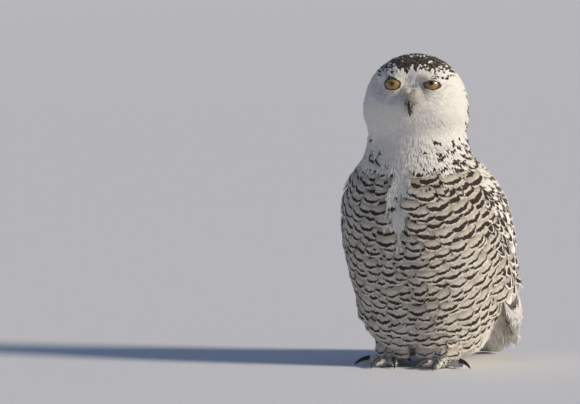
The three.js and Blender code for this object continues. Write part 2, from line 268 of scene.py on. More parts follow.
def loose_copy(nodes, name):
    """Merged copies of frame nodes, joined, with no material."""
    copies = []
    for node in nodes:
        copy = bpy.data.objects.new(name, frame["nodes"][node].data.copy())
        bpy.context.scene.collection.objects.link(copy)
        copies.append(copy)
    obj = joined(copies, name)
    obj.data.materials.clear()
    bpy.ops.object.mode_set(mode="EDIT")
    bpy.ops.mesh.select_all(action="SELECT")
    bpy.ops.mesh.remove_doubles(threshold=0.01 * MM)
    bpy.ops.object.mode_set(mode="OBJECT")
    return obj


def lofted(name, rings, capped=True):
    """A shell through rings of points: one round face, extruded from ring to ring."""
    deselect()
    bpy.ops.mesh.primitive_circle_add(vertices=len(rings[0]), fill_type="NGON")
    obj = bpy.context.object
    obj.name = name
    obj.data.name = name
    bpy.ops.object.mode_set(mode="EDIT")
    for index, ring in enumerate(rings):
        if index:
            bpy.ops.mesh.extrude_region()
        mesh = bmesh.from_edit_mesh(obj.data)
        face = next(f for f in mesh.faces if f.select)
        for vertex, place in zip(face.verts, ring):
            vertex.co = place
        bmesh.update_edit_mesh(obj.data)
    if not capped:
        mesh = bmesh.from_edit_mesh(obj.data)
        ends = [f for f in mesh.faces if len(f.verts) == len(rings[0])]
        bmesh.ops.delete(mesh, geom=ends, context="FACES_ONLY")
        bmesh.update_edit_mesh(obj.data)
    bpy.ops.mesh.select_all(action="SELECT")
    bpy.ops.mesh.normals_make_consistent(inside=False)
    bpy.ops.object.mode_set(mode="OBJECT")
    bpy.ops.object.transform_apply(location=True, rotation=True, scale=True)
    bpy.ops.object.shade_smooth()
    return obj


def vertices_of(obj):
    points = np.empty(len(obj.data.vertices) * 3)
    obj.data.vertices.foreach_get("co", points)
    return points.reshape(-1, 3)


def put_vertices(obj, points):
    obj.data.vertices.foreach_set("co", points.ravel())
    obj.data.update()


def finished(obj, replaced=(), materials=()):
    """Hands a finished piece to the frame."""
    for material in materials:
        obj.data.materials.append(material)
    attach(obj, BODY)
    if replaced:
        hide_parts(*replaced)
    return obj


# ------------------------------------------------------------------ shading

def put_in(tree, node, **sockets):
    """Sets or links a node's inputs, named with underscores for spaces."""
    for name, value in sockets.items():
        key = int(name[1:]) if name[0] == "i" and name[1:].isdigit() else name.replace("_", " ")
        if isinstance(value, bpy.types.NodeSocket):
            tree.links.new(value, node.inputs[key])
        else:
            node.inputs[key].default_value = value
    return node


def calc(tree, operation, *values, clamp=False):
    """One Math node over numbers and sockets."""
    node = tree.nodes.new("ShaderNodeMath")
    node.operation = operation
    node.use_clamp = clamp
    put_in(tree, node, **{f"i{i}": value for i, value in enumerate(values)})
    return node.outputs[0]


def span(tree, value, low, high, bottom=0.0, top=1.0):
    """Maps low..high smoothly onto bottom..top."""
    node = tree.nodes.new("ShaderNodeMapRange")
    node.interpolation_type = "SMOOTHSTEP"
    put_in(tree, node, i0=value, i1=low, i2=high, i3=bottom, i4=top)
    return node.outputs[0]


def blended(tree, factor, first, second, kind="MIX"):
    """A colour mix."""
    node = tree.nodes.new("ShaderNodeMix")
    node.data_type = "RGBA"
    node.blend_type = kind
    put_in(tree, node, i0=factor, i6=first, i7=second)
    return node.outputs[2]


def combined(tree, x, y, z):
    node = tree.nodes.new("ShaderNodeCombineXYZ")
    put_in(tree, node, X=x, Y=y, Z=z)
    return node.outputs[0]


def separated(tree, vector):
    node = tree.nodes.new("ShaderNodeSeparateXYZ")
    put_in(tree, node, Vector=vector)
    return node.outputs


def noise(tree, vector, scale, detail=2.0, roughness=0.5):
    node = tree.nodes.new("ShaderNodeTexNoise")
    put_in(tree, node, Vector=vector, Scale=scale, Detail=detail, Roughness=roughness)
    return node.outputs[0]


def bumped(tree, strength, distance, height):
    """Normals of a bump; the distance is in millimetres."""
    node = tree.nodes.new("ShaderNodeBump")
    put_in(tree, node, Strength=strength, Distance=distance * MM, Height=height)
    return node.outputs[0]


def in_place(tree):
    """Places on the object."""
    return tree.nodes.new("ShaderNodeTexCoord").outputs["Object"]


def mapped(tree, name):
    """A UV map's two numbers, and a third of no use."""
    node = tree.nodes.new("ShaderNodeUVMap")
    node.uv_map = name
    return separated(tree, node.outputs[0])


def own_marks(tree):
    """The three numbers that each feather, or place on the skin, carries."""
    node = tree.nodes.new("ShaderNodeAttribute")
    node.attribute_name = "mark"
    return separated(tree, node.outputs["Vector"])


def times(tree, first, second):
    return calc(tree, "MULTIPLY", first, second)


def shade(rgb, share=1.0):
    """A colour for a socket, darkened or lightened by a share."""
    return (*(min(1.0, c * share) for c in rgb), 1.0)


def group(name, numbers, outputs):
    """An empty node group with float inputs and outputs."""
    tree = bpy.data.node_groups.new(name, "ShaderNodeTree")
    for label, value in numbers.items():
        socket = tree.interface.new_socket(label, in_out="INPUT", socket_type="NodeSocketFloat")
        socket.default_value = value
    for label in outputs:
        tree.interface.new_socket(label, in_out="OUTPUT", socket_type="NodeSocketFloat")
    return tree, tree.nodes.new("NodeGroupInput").outputs, tree.nodes.new("NodeGroupOutput")


def placed(tree, which, **sockets):
    """A group's node inside a material."""
    node = tree.nodes.new("ShaderNodeGroup")
    node.node_tree = bpy.data.node_groups[which]
    return put_in(tree, node, **sockets)


def make_feather_marks():
    """Dark bars across a vane, bowed and frayed along its barbs. Lengths are in millimetres."""
    numbers = {
        "Across": 0, "From Tip": 0, "Seed": 0, "Amount": 1, "First": 5, "Spacing": 14,
        "Bars": 2, "Thickness": 3.5, "Reach": 11, "Arch": 0.03, "Fray": 2,
    }
    tree, given, out = group("Feather Marks", numbers, ["Mask"])
    side = calc(tree, "ABSOLUTE", given["Across"])
    barb = calc(tree, "MULTIPLY_ADD", side, 0.8, given["From Tip"])
    fine = noise(tree, combined(tree, times(tree, barb, 1.6), given["Across"],
                                times(tree, given["Seed"], 97)), 0.9, 3)
    wide = noise(tree, combined(tree, given["From Tip"], given["Across"],
                                times(tree, given["Seed"], 61)), 0.16, 1)
    frayed = times(tree, calc(tree, "SUBTRACT", fine, 0.5), given["Fray"])
    bent = times(tree, calc(tree, "SUBTRACT", wide, 0.5), given["Fray"])
    bow = times(tree, times(tree, side, side), given["Arch"])
    bow = calc(tree, "MULTIPLY_ADD", side, 0.12, bow)
    deep = calc(tree, "SUBTRACT", calc(tree, "SUBTRACT", given["From Tip"], bow), given["First"])
    deep = calc(tree, "ADD", calc(tree, "ADD", deep, frayed), times(tree, bent, 1.5))
    turn = calc(tree, "ROUND", calc(tree, "DIVIDE", deep, given["Spacing"]))
    last = calc(tree, "SUBTRACT", given["Bars"], 1)
    turn = calc(tree, "MINIMUM", calc(tree, "MAXIMUM", turn, 0), last)
    gap = calc(tree, "SUBTRACT", deep, times(tree, turn, given["Spacing"]))
    smoke = times(tree, span(tree, gap, 0.5, 7.0, 0.42, 0.0), span(tree, gap, -1.0, 0.5))
    gap = calc(tree, "ABSOLUTE", gap)
    half = times(tree, times(tree, given["Thickness"], 0.5), given["Amount"])
    half = times(tree, half, span(tree, side, given["Reach"], 0, 0.7, 1.1))
    inside = calc(tree, "SUBTRACT", half, gap)
    bar = span(tree, inside, -0.35, 0.45)
    width = times(tree, given["Reach"], calc(tree, "MULTIPLY_ADD", wide, 0.5, 0.75))
    end = calc(tree, "SUBTRACT", width, calc(tree, "ADD", side, frayed))
    bar = times(tree, bar, span(tree, end, -0.4, 0.8))
    bar = calc(tree, "MAXIMUM", bar, times(tree, smoke, times(tree, fine, 1.3)))
    bar = times(tree, bar, span(tree, given["Amount"], 0.05, 0.2))
    put_in(tree, out, Mask=bar)


def make_barb_grain():
    """Fine lines along the barbs, slanting from the shaft to the tip, and the shaft itself."""
    numbers = {"Across": 0, "From Tip": 0, "Seed": 0}
    tree, given, out = group("Barb Grain", numbers, ["Tone", "Height"])
    side = calc(tree, "ABSOLUTE", given["Across"])
    barb = calc(tree, "MULTIPLY_ADD", side, 0.9, given["From Tip"])
    lines = combined(tree, times(tree, barb, 2.2), times(tree, given["Across"], 0.25),
                     times(tree, given["Seed"], 43))
    lines = noise(tree, lines, 1, 3, 0.6)
    clumps = combined(tree, times(tree, barb, 0.5), times(tree, given["Across"], 0.12),
                      times(tree, given["Seed"], 71))
    clumps = noise(tree, clumps, 1, 2)
    shaft = span(tree, side, 0.9, 0.2)
    mixed = calc(tree, "MULTIPLY_ADD", clumps, 0.5, times(tree, lines, 0.5))
    put_in(tree, out, Tone=mixed, Height=calc(tree, "MULTIPLY_ADD", shaft, 0.5, mixed))


def principled(name, **sockets):
    """A new material, its tree and its shader."""
    material = bpy.data.materials.new(name)
    material.use_nodes = True
    tree = material.node_tree
    tree.nodes.clear()
    shader = tree.nodes.new("ShaderNodeBsdfPrincipled")
    output = tree.nodes.new("ShaderNodeOutputMaterial")
    tree.links.new(shader.outputs[0], output.inputs["Surface"])
    put_in(tree, shader, **sockets)
    return material, tree, shader


def plumage(name, soil, **marks):
    """Feather material: white, `soil` of the way to grey, with painted shade towards the root (partly the
    grey down there, partly the shade under the overlapping feathers), and its own marks.
    """
    if name in bpy.data.materials:
        return bpy.data.materials[name]
    coat = settings("owl_coat")
    material, tree, shader = principled(name, Roughness=0.82, Sheen_Weight=0.07,
                                        Sheen_Roughness=0.5, Specular_IOR_Level=0.25)
    across, from_tip, _ = mapped(tree, "vane")
    across = times(tree, across, 1 / MM)
    from_tip = times(tree, from_tip, 1 / MM)
    amount, seed, down = own_marks(tree)
    grain = placed(tree, "Barb Grain", Across=across, From_Tip=from_tip, Seed=seed)
    tone, height = grain.outputs
    soiled = span(tree, tone, 0.34, 0.60, 0.22 + 1.5 * soil, 0.35 * soil)
    white = blended(tree, soiled, shade(coat.white), shade(coat.grey))
    own_tone = span(tree, seed, 0, 1, 0.0, 0.16)
    white = blended(tree, own_tone, white, shade(coat.grey))
    # Painted shade: darker towards the root, scaled by the third mark (down). It is partly the grey down
    # and partly the shade cast by the overlapping row above.
    root = times(tree, span(tree, from_tip, 7.0, 18.0, 0.0, 0.7), down)
    white = blended(tree, root, white, shade(coat.grey, 0.62))
    mask = placed(tree, "Feather Marks", Across=across, From_Tip=from_tip, Seed=seed,
                  Amount=amount, **marks).outputs[0]
    dark = blended(tree, span(tree, tone, 0.35, 0.75), shade(coat.dark, 0.55), shade(coat.dark, 1.9))
    put_in(tree, shader, Base_Color=blended(tree, mask, white, dark),
           Normal=bumped(tree, 0.6, 0.5, height))
    return material


LID_DARK = (0.012, 0.010, 0.010)
LID_PALE = (0.040, 0.033, 0.030)
IRIS_RIM = (0.02, 0.013, 0.008)
PUPIL = (0.003, 0.003, 0.003)


def hide_material():
    """Skin: the plumage's white, with the crown's, breast's and wings' marks laid out roughly."""
    coat = settings("owl_coat")
    material, tree, shader = principled("hide", Roughness=0.85, Specular_IOR_Level=0.2)
    place = in_place(tree)
    bars, spots, _ = own_marks(tree)
    height = separated(tree, place)[2]
    ragged = noise(tree, place, 130, 3)
    rows = times(tree, height, 2 * math.pi / coat.row)
    wave = calc(tree, "SINE", calc(tree, "MULTIPLY_ADD", ragged, 5.0, rows))
    barred = times(tree, span(tree, wave, 0.55, 0.85), bars)
    speck = calc(tree, "ADD", noise(tree, place, 170, 2), times(tree, spots, 0.35))
    speck = span(tree, speck, 0.66, 0.74)
    mask = calc(tree, "MAXIMUM", barred, times(tree, speck, spots))
    white = blended(tree, span(tree, ragged, 0.35, 0.7, 0.25, 0.8), shade(coat.white), shade(coat.grey))
    put_in(tree, shader, Base_Color=blended(tree, mask, white, shade(coat.dark)),
           Normal=bumped(tree, 0.4, 0.8, noise(tree, place, 600, 3)))
    return material


def lid_material():
    """Bare, nearly black edge of the lids."""
    material, tree, shader = principled("lid", Roughness=0.45, Specular_IOR_Level=0.5)
    fine = noise(tree, in_place(tree), 1400, 2)
    rim = blended(tree, fine, shade(LID_DARK), shade(LID_PALE))
    put_in(tree, shader, Base_Color=rim, Normal=bumped(tree, 0.3, 0.2, fine))
    return material


def eye_material():
    """Gold iris with its rays, black pupil and dark ring, under a wet cornea."""
    eye = settings("owl_eyes")
    material, tree, shader = principled(
        "eyeball", Coat_Weight=1.0, Coat_Roughness=0.02, Specular_IOR_Level=0.5)
    u, v, _ = mapped(tree, "gaze")
    reach = calc(tree, "SQRT", calc(tree, "ADD", times(tree, u, u), times(tree, v, v)))
    reach = times(tree, reach, EYE_RADIUS / MM)
    around = times(tree, calc(tree, "ARCTAN2", v, u), 9)
    rays = noise(tree, combined(tree, around, times(tree, reach, 0.25), 0.0), 1.6, 3, 0.7)
    pupil, iris = eye.pupil / MM, eye.iris / MM
    deep = [c * f for c, f in zip(eye.gold, (0.55, 0.42, 0.5))]
    gold = blended(tree, span(tree, rays, 0.3, 0.7), shade(deep), shade(eye.gold))
    inner = span(tree, reach, pupil + 2.2, pupil + 0.2, 0.0, 0.65)
    gold = blended(tree, inner, gold, shade(deep))
    rim = span(tree, reach, iris - 2.8, iris - 0.4)
    gold = blended(tree, rim, gold, shade(IRIS_RIM))
    hole = span(tree, reach, pupil + 0.15, pupil - 0.15)
    put_in(tree, shader, Base_Color=blended(tree, hole, gold, shade(PUPIL)),
           Roughness=span(tree, hole, 0, 1, 0.35, 0.12))
    return material


def horn_material():
    """Dark horn, paler in soft patches, with fine changes of roughness and small bumps."""
    horn = settings("owl_horn")
    material, tree, shader = principled("horn", Specular_IOR_Level=0.5)
    place = in_place(tree)
    broad = noise(tree, place, 260, 3)
    fine = noise(tree, place, 1500, 2)
    tint = blended(tree, span(tree, broad, 0.35, 0.75), shade(horn.shade), shade(horn.shade, 3.2))
    put_in(tree, shader, Base_Color=tint, Roughness=span(tree, fine, 0.3, 0.7, 0.26, 0.42),
           Normal=bumped(tree, 0.25, 0.15, calc(tree, "ADD", broad, fine)))
    return material


# ---------------------------------------------------------------- the marks

def body_middle(points):
    """Depth of the body's middle at each point's height."""
    knots = np.array((0, 66, 100, 146, 208, 262, 300, 330, 362, 400)) * MM
    middles = np.array((-30, -45, -47, -51, -59, -71, -85, -95, -98, -101)) * MM
    return np.interp(points[:, 2], knots, middles)


def bearing(points):
    """Angle round the body: 0 in front, positive to the bird's left, up to pi behind."""
    return np.arctan2(points[:, 0], body_middle(points) - points[:, 1])


# Places and sizes of the marks are in millimetres.
PARTING_TURN = 245              # height where the parting lies farthest to the bird's right
PARTING_SIDE = -5.5             # its place there
PARTING_BEND = 12               # how far it swings back to the left above and below
PARTING_WIDTH = 15              # half its width
BIB_EDGE = 317                  # height where the bars begin in front
VANES_TOP = 306                 # above this height only barred vanes are kept
LONE_SPOTS = ((-7, 256), (-6, 242), (40, 326))      # across and height
SPOT_GAP = 12                   # least gap between the crossbars on the neck


def degrees_round(points):
    """How far round the body points lie: 0 in front, 180 behind."""
    return np.degrees(np.abs(bearing(points)))


def from_parting(points):
    """Distance of points from the curved parting down the breast, in millimetres."""
    x, _, z = (points / MM).T
    bend = PARTING_BEND * np.clip((z - PARTING_TURN) / 60, -1, 1) ** 2
    return np.abs(x - PARTING_SIDE - bend)


def parting_width(heights):
    """Half the width of the white parting at each height, all in millimetres."""
    return PARTING_WIDTH * ease(heights, 182, 220) * (1 - 0.4 * ease(heights, 272, 296))


def crown_amount(points, draws):
    """How dark the tips of head feathers are: a solid cap, scattered spots below it and behind."""
    x, y, z = (in_head(points) / MM).T
    line = 25.5 + 3 * ease(np.abs(x + 4), 8, 28) - 7 * ease(np.abs(x), 38, 64) - 30 * ease(y, 8, 50)
    cap = ease(z - line - (13 + 20 * ease(y, 10, 40)) * (draws - 0.7), -2, 2) * (draws * 7 % 1 > 0.13)
    scattered = (draws < 0.16) * ease(z - line, -15, -11) * 0.8
    nape = (draws < 0.2 * ease(y, -18, -6) + 0.36 * ease(y, -8, 14)) * ease(z, -112, -84) * 0.9
    # The brow patches too: a brown mark over the left eye, painted shade over the right.
    return np.maximum.reduce((cap, scattered, nape, brow_mark_and_shade(points)))


def brow_mark_and_shade(points):
    """A small dark patch over each eye: the brown brow mark over the left eye, and over the right eye the
    same patch as painted shade under the brow.
    """
    amount = np.zeros(len(points))
    for side in SIDES:
        out, up, distance = EyeSocket(side).plane(points)
        spot = np.hypot((out / MM - 2.5) / 5.5, (up / MM - 8.5) / 4)
        amount = np.maximum(amount, (distance < 1.7 * EYE_RADIUS) * ease(spot, 1.2, 0.6))
    return amount


def breast_amount(points, draws):
    """Bars on breast and belly, none on the bib, down the parting or round the feet."""
    x, _, z = (points / MM).T
    turned = degrees_round(points)
    top = BIB_EDGE + 3 * ease(turned, 15, 50) + 10 * (draws - 0.5)
    top += 34 * ease(x, 35, 75) * ease(draws, 0.1, 0.6)
    barred = ease(z, top + 5, top - 5)
    parting = ease(from_parting(points) - parting_width(z), 1, -4) * ease(z, 182, 200)
    bold = 1 + 0.55 * ease(x, 15, 60) * ease(z, 165, 235)
    shrunk = 1 - 0.45 * ease(z, 70, 15)
    spots = (draws > 0.72) * ease(turned, 40, 60) * ease(z, 372, 350) * 0.8
    return np.maximum(barred * (1 - parting) * shrunk * bold * (0.8 + 0.4 * draws), spots)


def bib_amount(points, draws):
    """Small crossbars on the sides of the neck, most on the bird's left, and all round behind."""
    x, _, z = (points / MM).T
    turned = degrees_round(points)
    share = 0.62 * ease(turned, 34, 62) * ease(z, 368, 320) * (0.15 + 0.85 * ease(x, -60, 20))
    share += 1.1 * ease(turned, 80, 130)
    order = np.argsort(draws)
    amount = np.zeros(len(points))
    centres = []
    for n in order:
        if draws[n] > share[n] * 0.42:
            continue
        place = points[n] / MM
        gaps = [np.hypot(*(place[:2] - other[:2])) + 1.4 * abs(place[2] - other[2]) for other in centres]
        if all(gap > SPOT_GAP for gap in gaps):
            centres.append(place)
    for place in centres:
        away = np.hypot(*(points[:, :2] / MM - place[:2]).T)
        down = z - place[2] - 0.22 * away
        wide = 5 + 2 * ease(place[2], 350, 320)
        amount[(np.abs(down) < 0.36 * wide) & (away < wide)] = 0.95
    for across, height in LONE_SPOTS:
        near = (np.abs(x - across) < 5) & (np.abs(z - height) < 2.8)
        amount[near & (points[:, 1] < -100 * MM)] = 0.95
    return amount


def wing_amount(points, draws):
    """Spots on the wing, none on the white patch at its bend."""
    z = points[:, 2] / MM
    turned = degrees_round(points)
    patch = ease(turned, 104, 86) * ease(z, 262, 280)
    return (1 - patch) * (draws < 0.86) * (0.62 + 0.62 * draws)


def back_amount(points, draws):
    """Spots on the back, fading to plain white under the tail."""
    z = points[:, 2] / MM
    turned = degrees_round(points)
    return ease(z, 95, 140) * ease(turned, 60, 110) * (draws < 0.85) * (0.7 + 0.5 * draws)


# ------------------------------------------------------------------ the skin

def ordered_faces(mesh):
    """The faces in a fixed order, each from its lowest corner, and their numbers in the mesh."""
    faces = []
    for polygon in mesh.polygons:
        corners = tuple(polygon.vertices)
        first = corners.index(min(corners))
        faces.append((corners[first:] + corners[:first], polygon.index))
    faces.sort()
    return [face for face, _ in faces], np.array([number for _, number in faces])


def soft_normals(points, faces):
    """Normals of the vertices: those of the faces round them, weighed by their angles."""
    total = np.zeros_like(points)
    for size in sorted({len(face) for face in faces}):
        corners = np.array([face for face in faces if len(face) == size])
        places = points[corners]
        ahead = unit(np.roll(places, -1, axis=1) - places)
        behind = unit(np.roll(places, 1, axis=1) - places)
        flat = unit(np.cross(ahead, behind).sum(axis=1, keepdims=True))
        angles = np.arccos(np.clip(dot(ahead, behind), -1, 1))
        weighed = (flat * angles).reshape(-1, 3)
        for axis in range(3):
            total[:, axis] += np.bincount(corners.ravel(), weighed[:, axis], len(points))
    return unit(total)


class Surface:
    """A mesh to lay feathers on, with soft normals, the same at every run."""

    def __init__(self, obj):
        mesh = obj.data
        self.points = vertices_of(obj)
        self.faces, order = ordered_faces(mesh)
        self.tree = BVHTree.FromPolygons(self.points.tolist(), self.faces)
        normals = soft_normals(self.points, self.faces)
        self.normals = unit(np.array([normals[list(face)].mean(0) for face in self.faces]))
        self.centres = np.array([self.points[list(face)].mean(0) for face in self.faces])
        areas = np.empty(len(self.faces))
        mesh.polygons.foreach_get("area", areas)
        self.areas = areas[order]
        parts = np.zeros(len(self.faces), np.int32)
        if "part" in mesh.attributes:
            mesh.attributes["part"].data.foreach_get("value", parts)
        self.parts = parts[order]

    def nearest(self, spots):
        """Nearest places, soft normals and face numbers."""
        places = np.empty_like(spots)
        faces = np.empty(len(spots), np.int64)
        find = self.tree.find_nearest
        for i, spot in enumerate(spots.tolist()):
            place, _, face, _ = find(spot)
            places[i] = place
            faces[i] = face
        return places, self.normals[faces], faces


def owners(points, nodes):
    """For each point the number of the nearest frame node."""
    corners, faces, numbers = [], [], []
    for number, node in enumerate(nodes):
        mesh = frame["nodes"][node].data
        start = len(corners)
        corners += [tuple(v.co) for v in mesh.vertices]
        faces += [tuple(start + i for i in p.vertices) for p in mesh.polygons]
        numbers += [number] * len(mesh.polygons)
    tree = BVHTree.FromPolygons(corners, faces)
    return np.array([numbers[tree.find_nearest(p)[2]] for p in points.tolist()])


def relaxed(values, edges, rounds, weight):
    """Values evened out between neighbours."""
    count = len(values)
    links = np.bincount(edges.ravel(), minlength=count)[:, None]
    for _ in range(rounds):
        total = np.stack([
            np.bincount(edges[:, 0], column[edges[:, 1]], count)
            + np.bincount(edges[:, 1], column[edges[:, 0]], count)
            for column in values.T
        ], axis=1)
        values = values + weight * (total / links - values)
    return values


class EyeSocket:
    """Places round one eye: out and up from the pupil along the ball, and distance from its centre."""

    def __init__(self, side):
        eye = settings("owl_eyes")
        outward = LEFTWARD * SIDES[side]
        turn = getattr(eye, "turn_" + side)
        raised = getattr(eye, "raised_" + side)
        self.centre = EYE_CENTRES[side]
        level = FORWARD * math.cos(turn) + outward * math.sin(turn)
        self.gaze = level * math.cos(raised) + HEAD_UP * math.sin(raised)
        self.up = HEAD_UP * math.cos(raised) - level * math.sin(raised)
        self.out = outward * math.cos(turn) - FORWARD * math.sin(turn)
        self.middle = (eye.outer - eye.inner) / 2
        self.half = (eye.outer + eye.inner) / 2
        self.level = -0.8 * MM
        self.upper = getattr(eye, "upper_" + side) - self.level
        self.lower = eye.lower + self.level
        self.bent = 0.9 * EYE_RADIUS

    def plane(self, points):
        """(out, up, distance) of points; the first two are lengths along the ball."""
        arm = points - self.centre
        out, up, ahead = arm @ self.out, arm @ self.up, arm @ self.gaze
        angle = np.arctan2(np.hypot(out, up), ahead)
        limit = math.asin(0.9)
        reach = np.where(angle < limit, EYE_RADIUS * np.sin(np.minimum(angle, limit)),
                         self.bent + (angle - limit) * EYE_RADIUS)
        way = np.arctan2(up, out)
        return reach * np.cos(way), reach * np.sin(way), np.linalg.norm(arm, axis=1)

    def place(self, out, up, distance):
        """The way back from plane()."""
        reach = np.hypot(out, up)
        angle = np.where(reach < self.bent, np.arcsin(np.minimum(reach, self.bent) / EYE_RADIUS),
                         math.asin(0.9) + (reach - self.bent) / EYE_RADIUS)
        way = np.arctan2(up, out)
        sideways = np.outer(np.cos(way), self.out) + np.outer(np.sin(way), self.up)
        arms = sideways * np.sin(angle)[:, None] + np.outer(np.cos(angle), self.gaze)
        return self.centre + arms * np.reshape(distance, (-1, 1))

    def ratio(self, out, up):
        """0 at the opening's middle, 1 on the lids' edge and more outside."""
        height = np.where(up > self.level, self.upper, self.lower)
        return np.hypot((out - self.middle) / self.half, (up - self.level) / height)

    def edge(self, angles, ratio):
        """Points round the opening at this ratio."""
        height = np.where(np.sin(angles) > 0, self.upper, self.lower)
        return (self.middle + self.half * ratio * np.cos(angles),
                self.level + height * ratio * np.sin(angles))


def ball_radius(out, up):
    """Distance of the eye's surface from its centre, cornea included."""
    eye = settings("owl_eyes")
    reach = np.minimum(np.hypot(out, up) / eye.iris, 1)
    return EYE_RADIUS - 0.15 * MM + eye.bulge * (1 - reach ** 2) ** 2


def sculpt_face(points):
    """Brows, the hollows beside the bill and the ridge between them."""
    skin = settings("owl_skin")
    x, y, z = (in_head(points) / MM).T
    ahead = ease(-y, 25, 50)
    brow = np.exp(-((np.abs(x) - 24) / 15) ** 2 - ((z - 14) / 6.5) ** 2)
    hollow = np.exp(-((np.abs(x) - 13) / 7.5) ** 2 - ((z + 4) / 14) ** 2)
    ridge = np.exp(-(x / 5.5) ** 2 - ((z + 10) / 13) ** 2)
    muzzle = np.exp(-(x / 16) ** 2 - ((z + 34) / 13) ** 2)
    cheek = np.exp(-((np.abs(x) - 38) / 16) ** 2 - ((z + 34) / 18) ** 2)
    rise = brow * skin.brow - hollow * skin.hollow + (1.6 * ridge + 1.4 * muzzle + 1.2 * cheek) * MM
    return points + np.outer(rise * ahead, FORWARD)


def open_sockets(points):
    """Brings the skin close round each eyeball and sinks it behind the opening."""
    for side in SIDES:
        socket = EyeSocket(side)
        out, up, distance = socket.plane(points)
        ratio = socket.ratio(out, up)
        wanted = ball_radius(out, up) + (0.9 + 2.6 * np.clip(ratio - 1, 0, 2)) * MM
        wanted = np.where(ratio < 1.04, EYE_RADIUS - 3 * MM, wanted)
        pull = ease(ratio, 2.5, 1.2) * (distance < 2.2 * EYE_RADIUS)
        drawn = distance + pull * (wanted - distance)
        over = (ratio > 1.04) & (np.hypot(out, up) < 1.35 * EYE_RADIUS) & (distance < 1.5 * EYE_RADIUS)
        drawn = np.where(over, np.maximum(drawn, ball_radius(out, up) + 1.3 * MM), drawn)
        moved = socket.place(out, up, drawn)
        points = np.where((np.abs(drawn - distance) > 1e-7)[:, None], moved, points)
    return points


LID_STEPS = ((0.94, -1.2), (0.985, 0.1), (1.0, 0.55), (1.06, 1.05), (1.18, 1.25), (1.34, 1.0), (1.55, -0.6))


def lid_ring(side):
    """The lids as one shell: from behind their edge over it and out under the skin."""
    socket = EyeSocket(side)
    eye = settings("owl_eyes")
    angles = np.linspace(0, 2 * math.pi, 56, endpoint=False)
    rings = []
    for ratio, lift in LID_STEPS:
        out, up = socket.edge(angles, ratio)
        distance = ball_radius(out, up) + lift * eye.lid
        rings.append(socket.place(out, up, distance))
    return lofted("lid_" + side, rings, capped=False)


class OWL_OT_skin(bpy.types.Operator):
    """One skin over all the flesh of the frame, drawn in by the depth of the coat, with lids."""
    bl_idname = "owl.skin"
    bl_label = "Skin"

    def execute(self, context):
        skin = settings("owl_skin")
        eyes = ["eye_" + side for side in SIDES]
        obj = loose_copy(FLESH + eyes, "skin")
        modified(obj, "DISPLACE", strength=0.5 * MM, mid_level=0)
        modified(obj, "REMESH", mode="VOXEL", voxel_size=skin.grid)
        points = vertices_of(obj)
        part = owners(points, FLESH)
        edges = np.empty(len(obj.data.edges) * 2, np.int32)
        obj.data.edges.foreach_get("vertices", edges)
        edges = np.unique(np.sort(edges.reshape(-1, 2), axis=1), axis=0)
        stiff = np.isin(part, FEET + LEGS)
        ease_in = relaxed(np.where(stiff, 0.12, 1.0)[:, None], edges, 6, 0.5)
        points = relaxed(points, edges, 34, 0.5 * ease_in)
        put_vertices(obj, points)
        depth = np.full(len(points), skin.body_depth)
        depth[part == HEAD] = skin.head_depth
        depth[np.isin(part, WINGS)] = skin.wing_depth
        depth[stiff] = skin.foot_depth
        _, y, z = (points / MM).T
        parting = ease(from_parting(points), 26, 3) * ease(z, 30, 110) * ease(z, 318, 285) * (y < -60)
        depth = relaxed(depth[:, None], edges, 24, 0.5)[:, 0] + parting * skin.channel
        points = points - soft_normals(points, ordered_faces(obj.data)[0]) * depth[:, None]
        points = open_sockets(sculpt_face(points))
        put_vertices(obj, points)
        draws = np.full(len(points), 0.5)
        bars = np.where(np.isin(part, (NECK, TRUNK)), breast_amount(points, draws), 0)
        bars *= points[:, 1] < -20 * MM
        spots = np.where(part == HEAD, crown_amount(points, draws), 0)
        spots = np.maximum(spots, np.where(np.isin(part, WINGS), 0.8, 0))
        marks = np.stack((bars, spots, draws), axis=1).astype(np.float32)
        obj.data.attributes.new("mark", "FLOAT_VECTOR", "POINT").data.foreach_set("vector", marks.ravel())
        centres = np.empty(len(obj.data.polygons) * 3)
        obj.data.polygons.foreach_get("center", centres)
        on_face = owners(centres.reshape(-1, 3), FLESH)
        obj.data.attributes.new("part", "INT", "FACE").data.foreach_set("value", on_face.astype(np.int32))
        obj.data.materials.append(hide_material())
        obj.data.materials.append(lid_material())
        activate(obj)
        bpy.ops.object.shade_smooth()
        lids = [lid_ring(side) for side in SIDES]
        for lid in lids:
            lid.data.materials.append(obj.data.materials["lid"])
        obj = joined([obj] + lids, "skin")
        finished(obj, FLESH)
        return {"FINISHED"}


# ------------------------------------------------------------- eyes and horn

class OWL_OT_eyes(bpy.types.Operator):
    """Both eyeballs with their corneas."""
    bl_idname = "owl.eyes"
    bl_label = "Eyes"

    def execute(self, context):
        material = eye_material()
        for side in SIDES:
            socket = EyeSocket(side)
            deselect()
            turn = Vector(socket.gaze).to_track_quat("Z", "Y").to_euler()
            bpy.ops.mesh.primitive_uv_sphere_add(
                segments=48, ring_count=40, radius=EYE_RADIUS, location=socket.centre, rotation=turn)
            ball = bpy.context.object
            ball.name = "eyeball_" + side
            ball.data.name = ball.name
            bpy.ops.object.transform_apply(location=True, rotation=True, scale=True)
            out, up, _ = socket.plane(vertices_of(ball))
            front = socket.place(out, up, ball_radius(out, up))
            put_vertices(ball, front)
            corners = np.empty(len(ball.data.loops), np.int32)
            ball.data.loops.foreach_get("vertex_index", corners)
            gaze = np.stack((out, up), axis=1)[corners] / EYE_RADIUS
            layer = ball.data.uv_layers.new(name="gaze")
            layer.uv.foreach_set("vector", gaze.astype(np.float32).ravel())
            bpy.ops.object.shade_smooth()
            finished(ball, ["eye_" + side], [material])
        return {"FINISHED"}


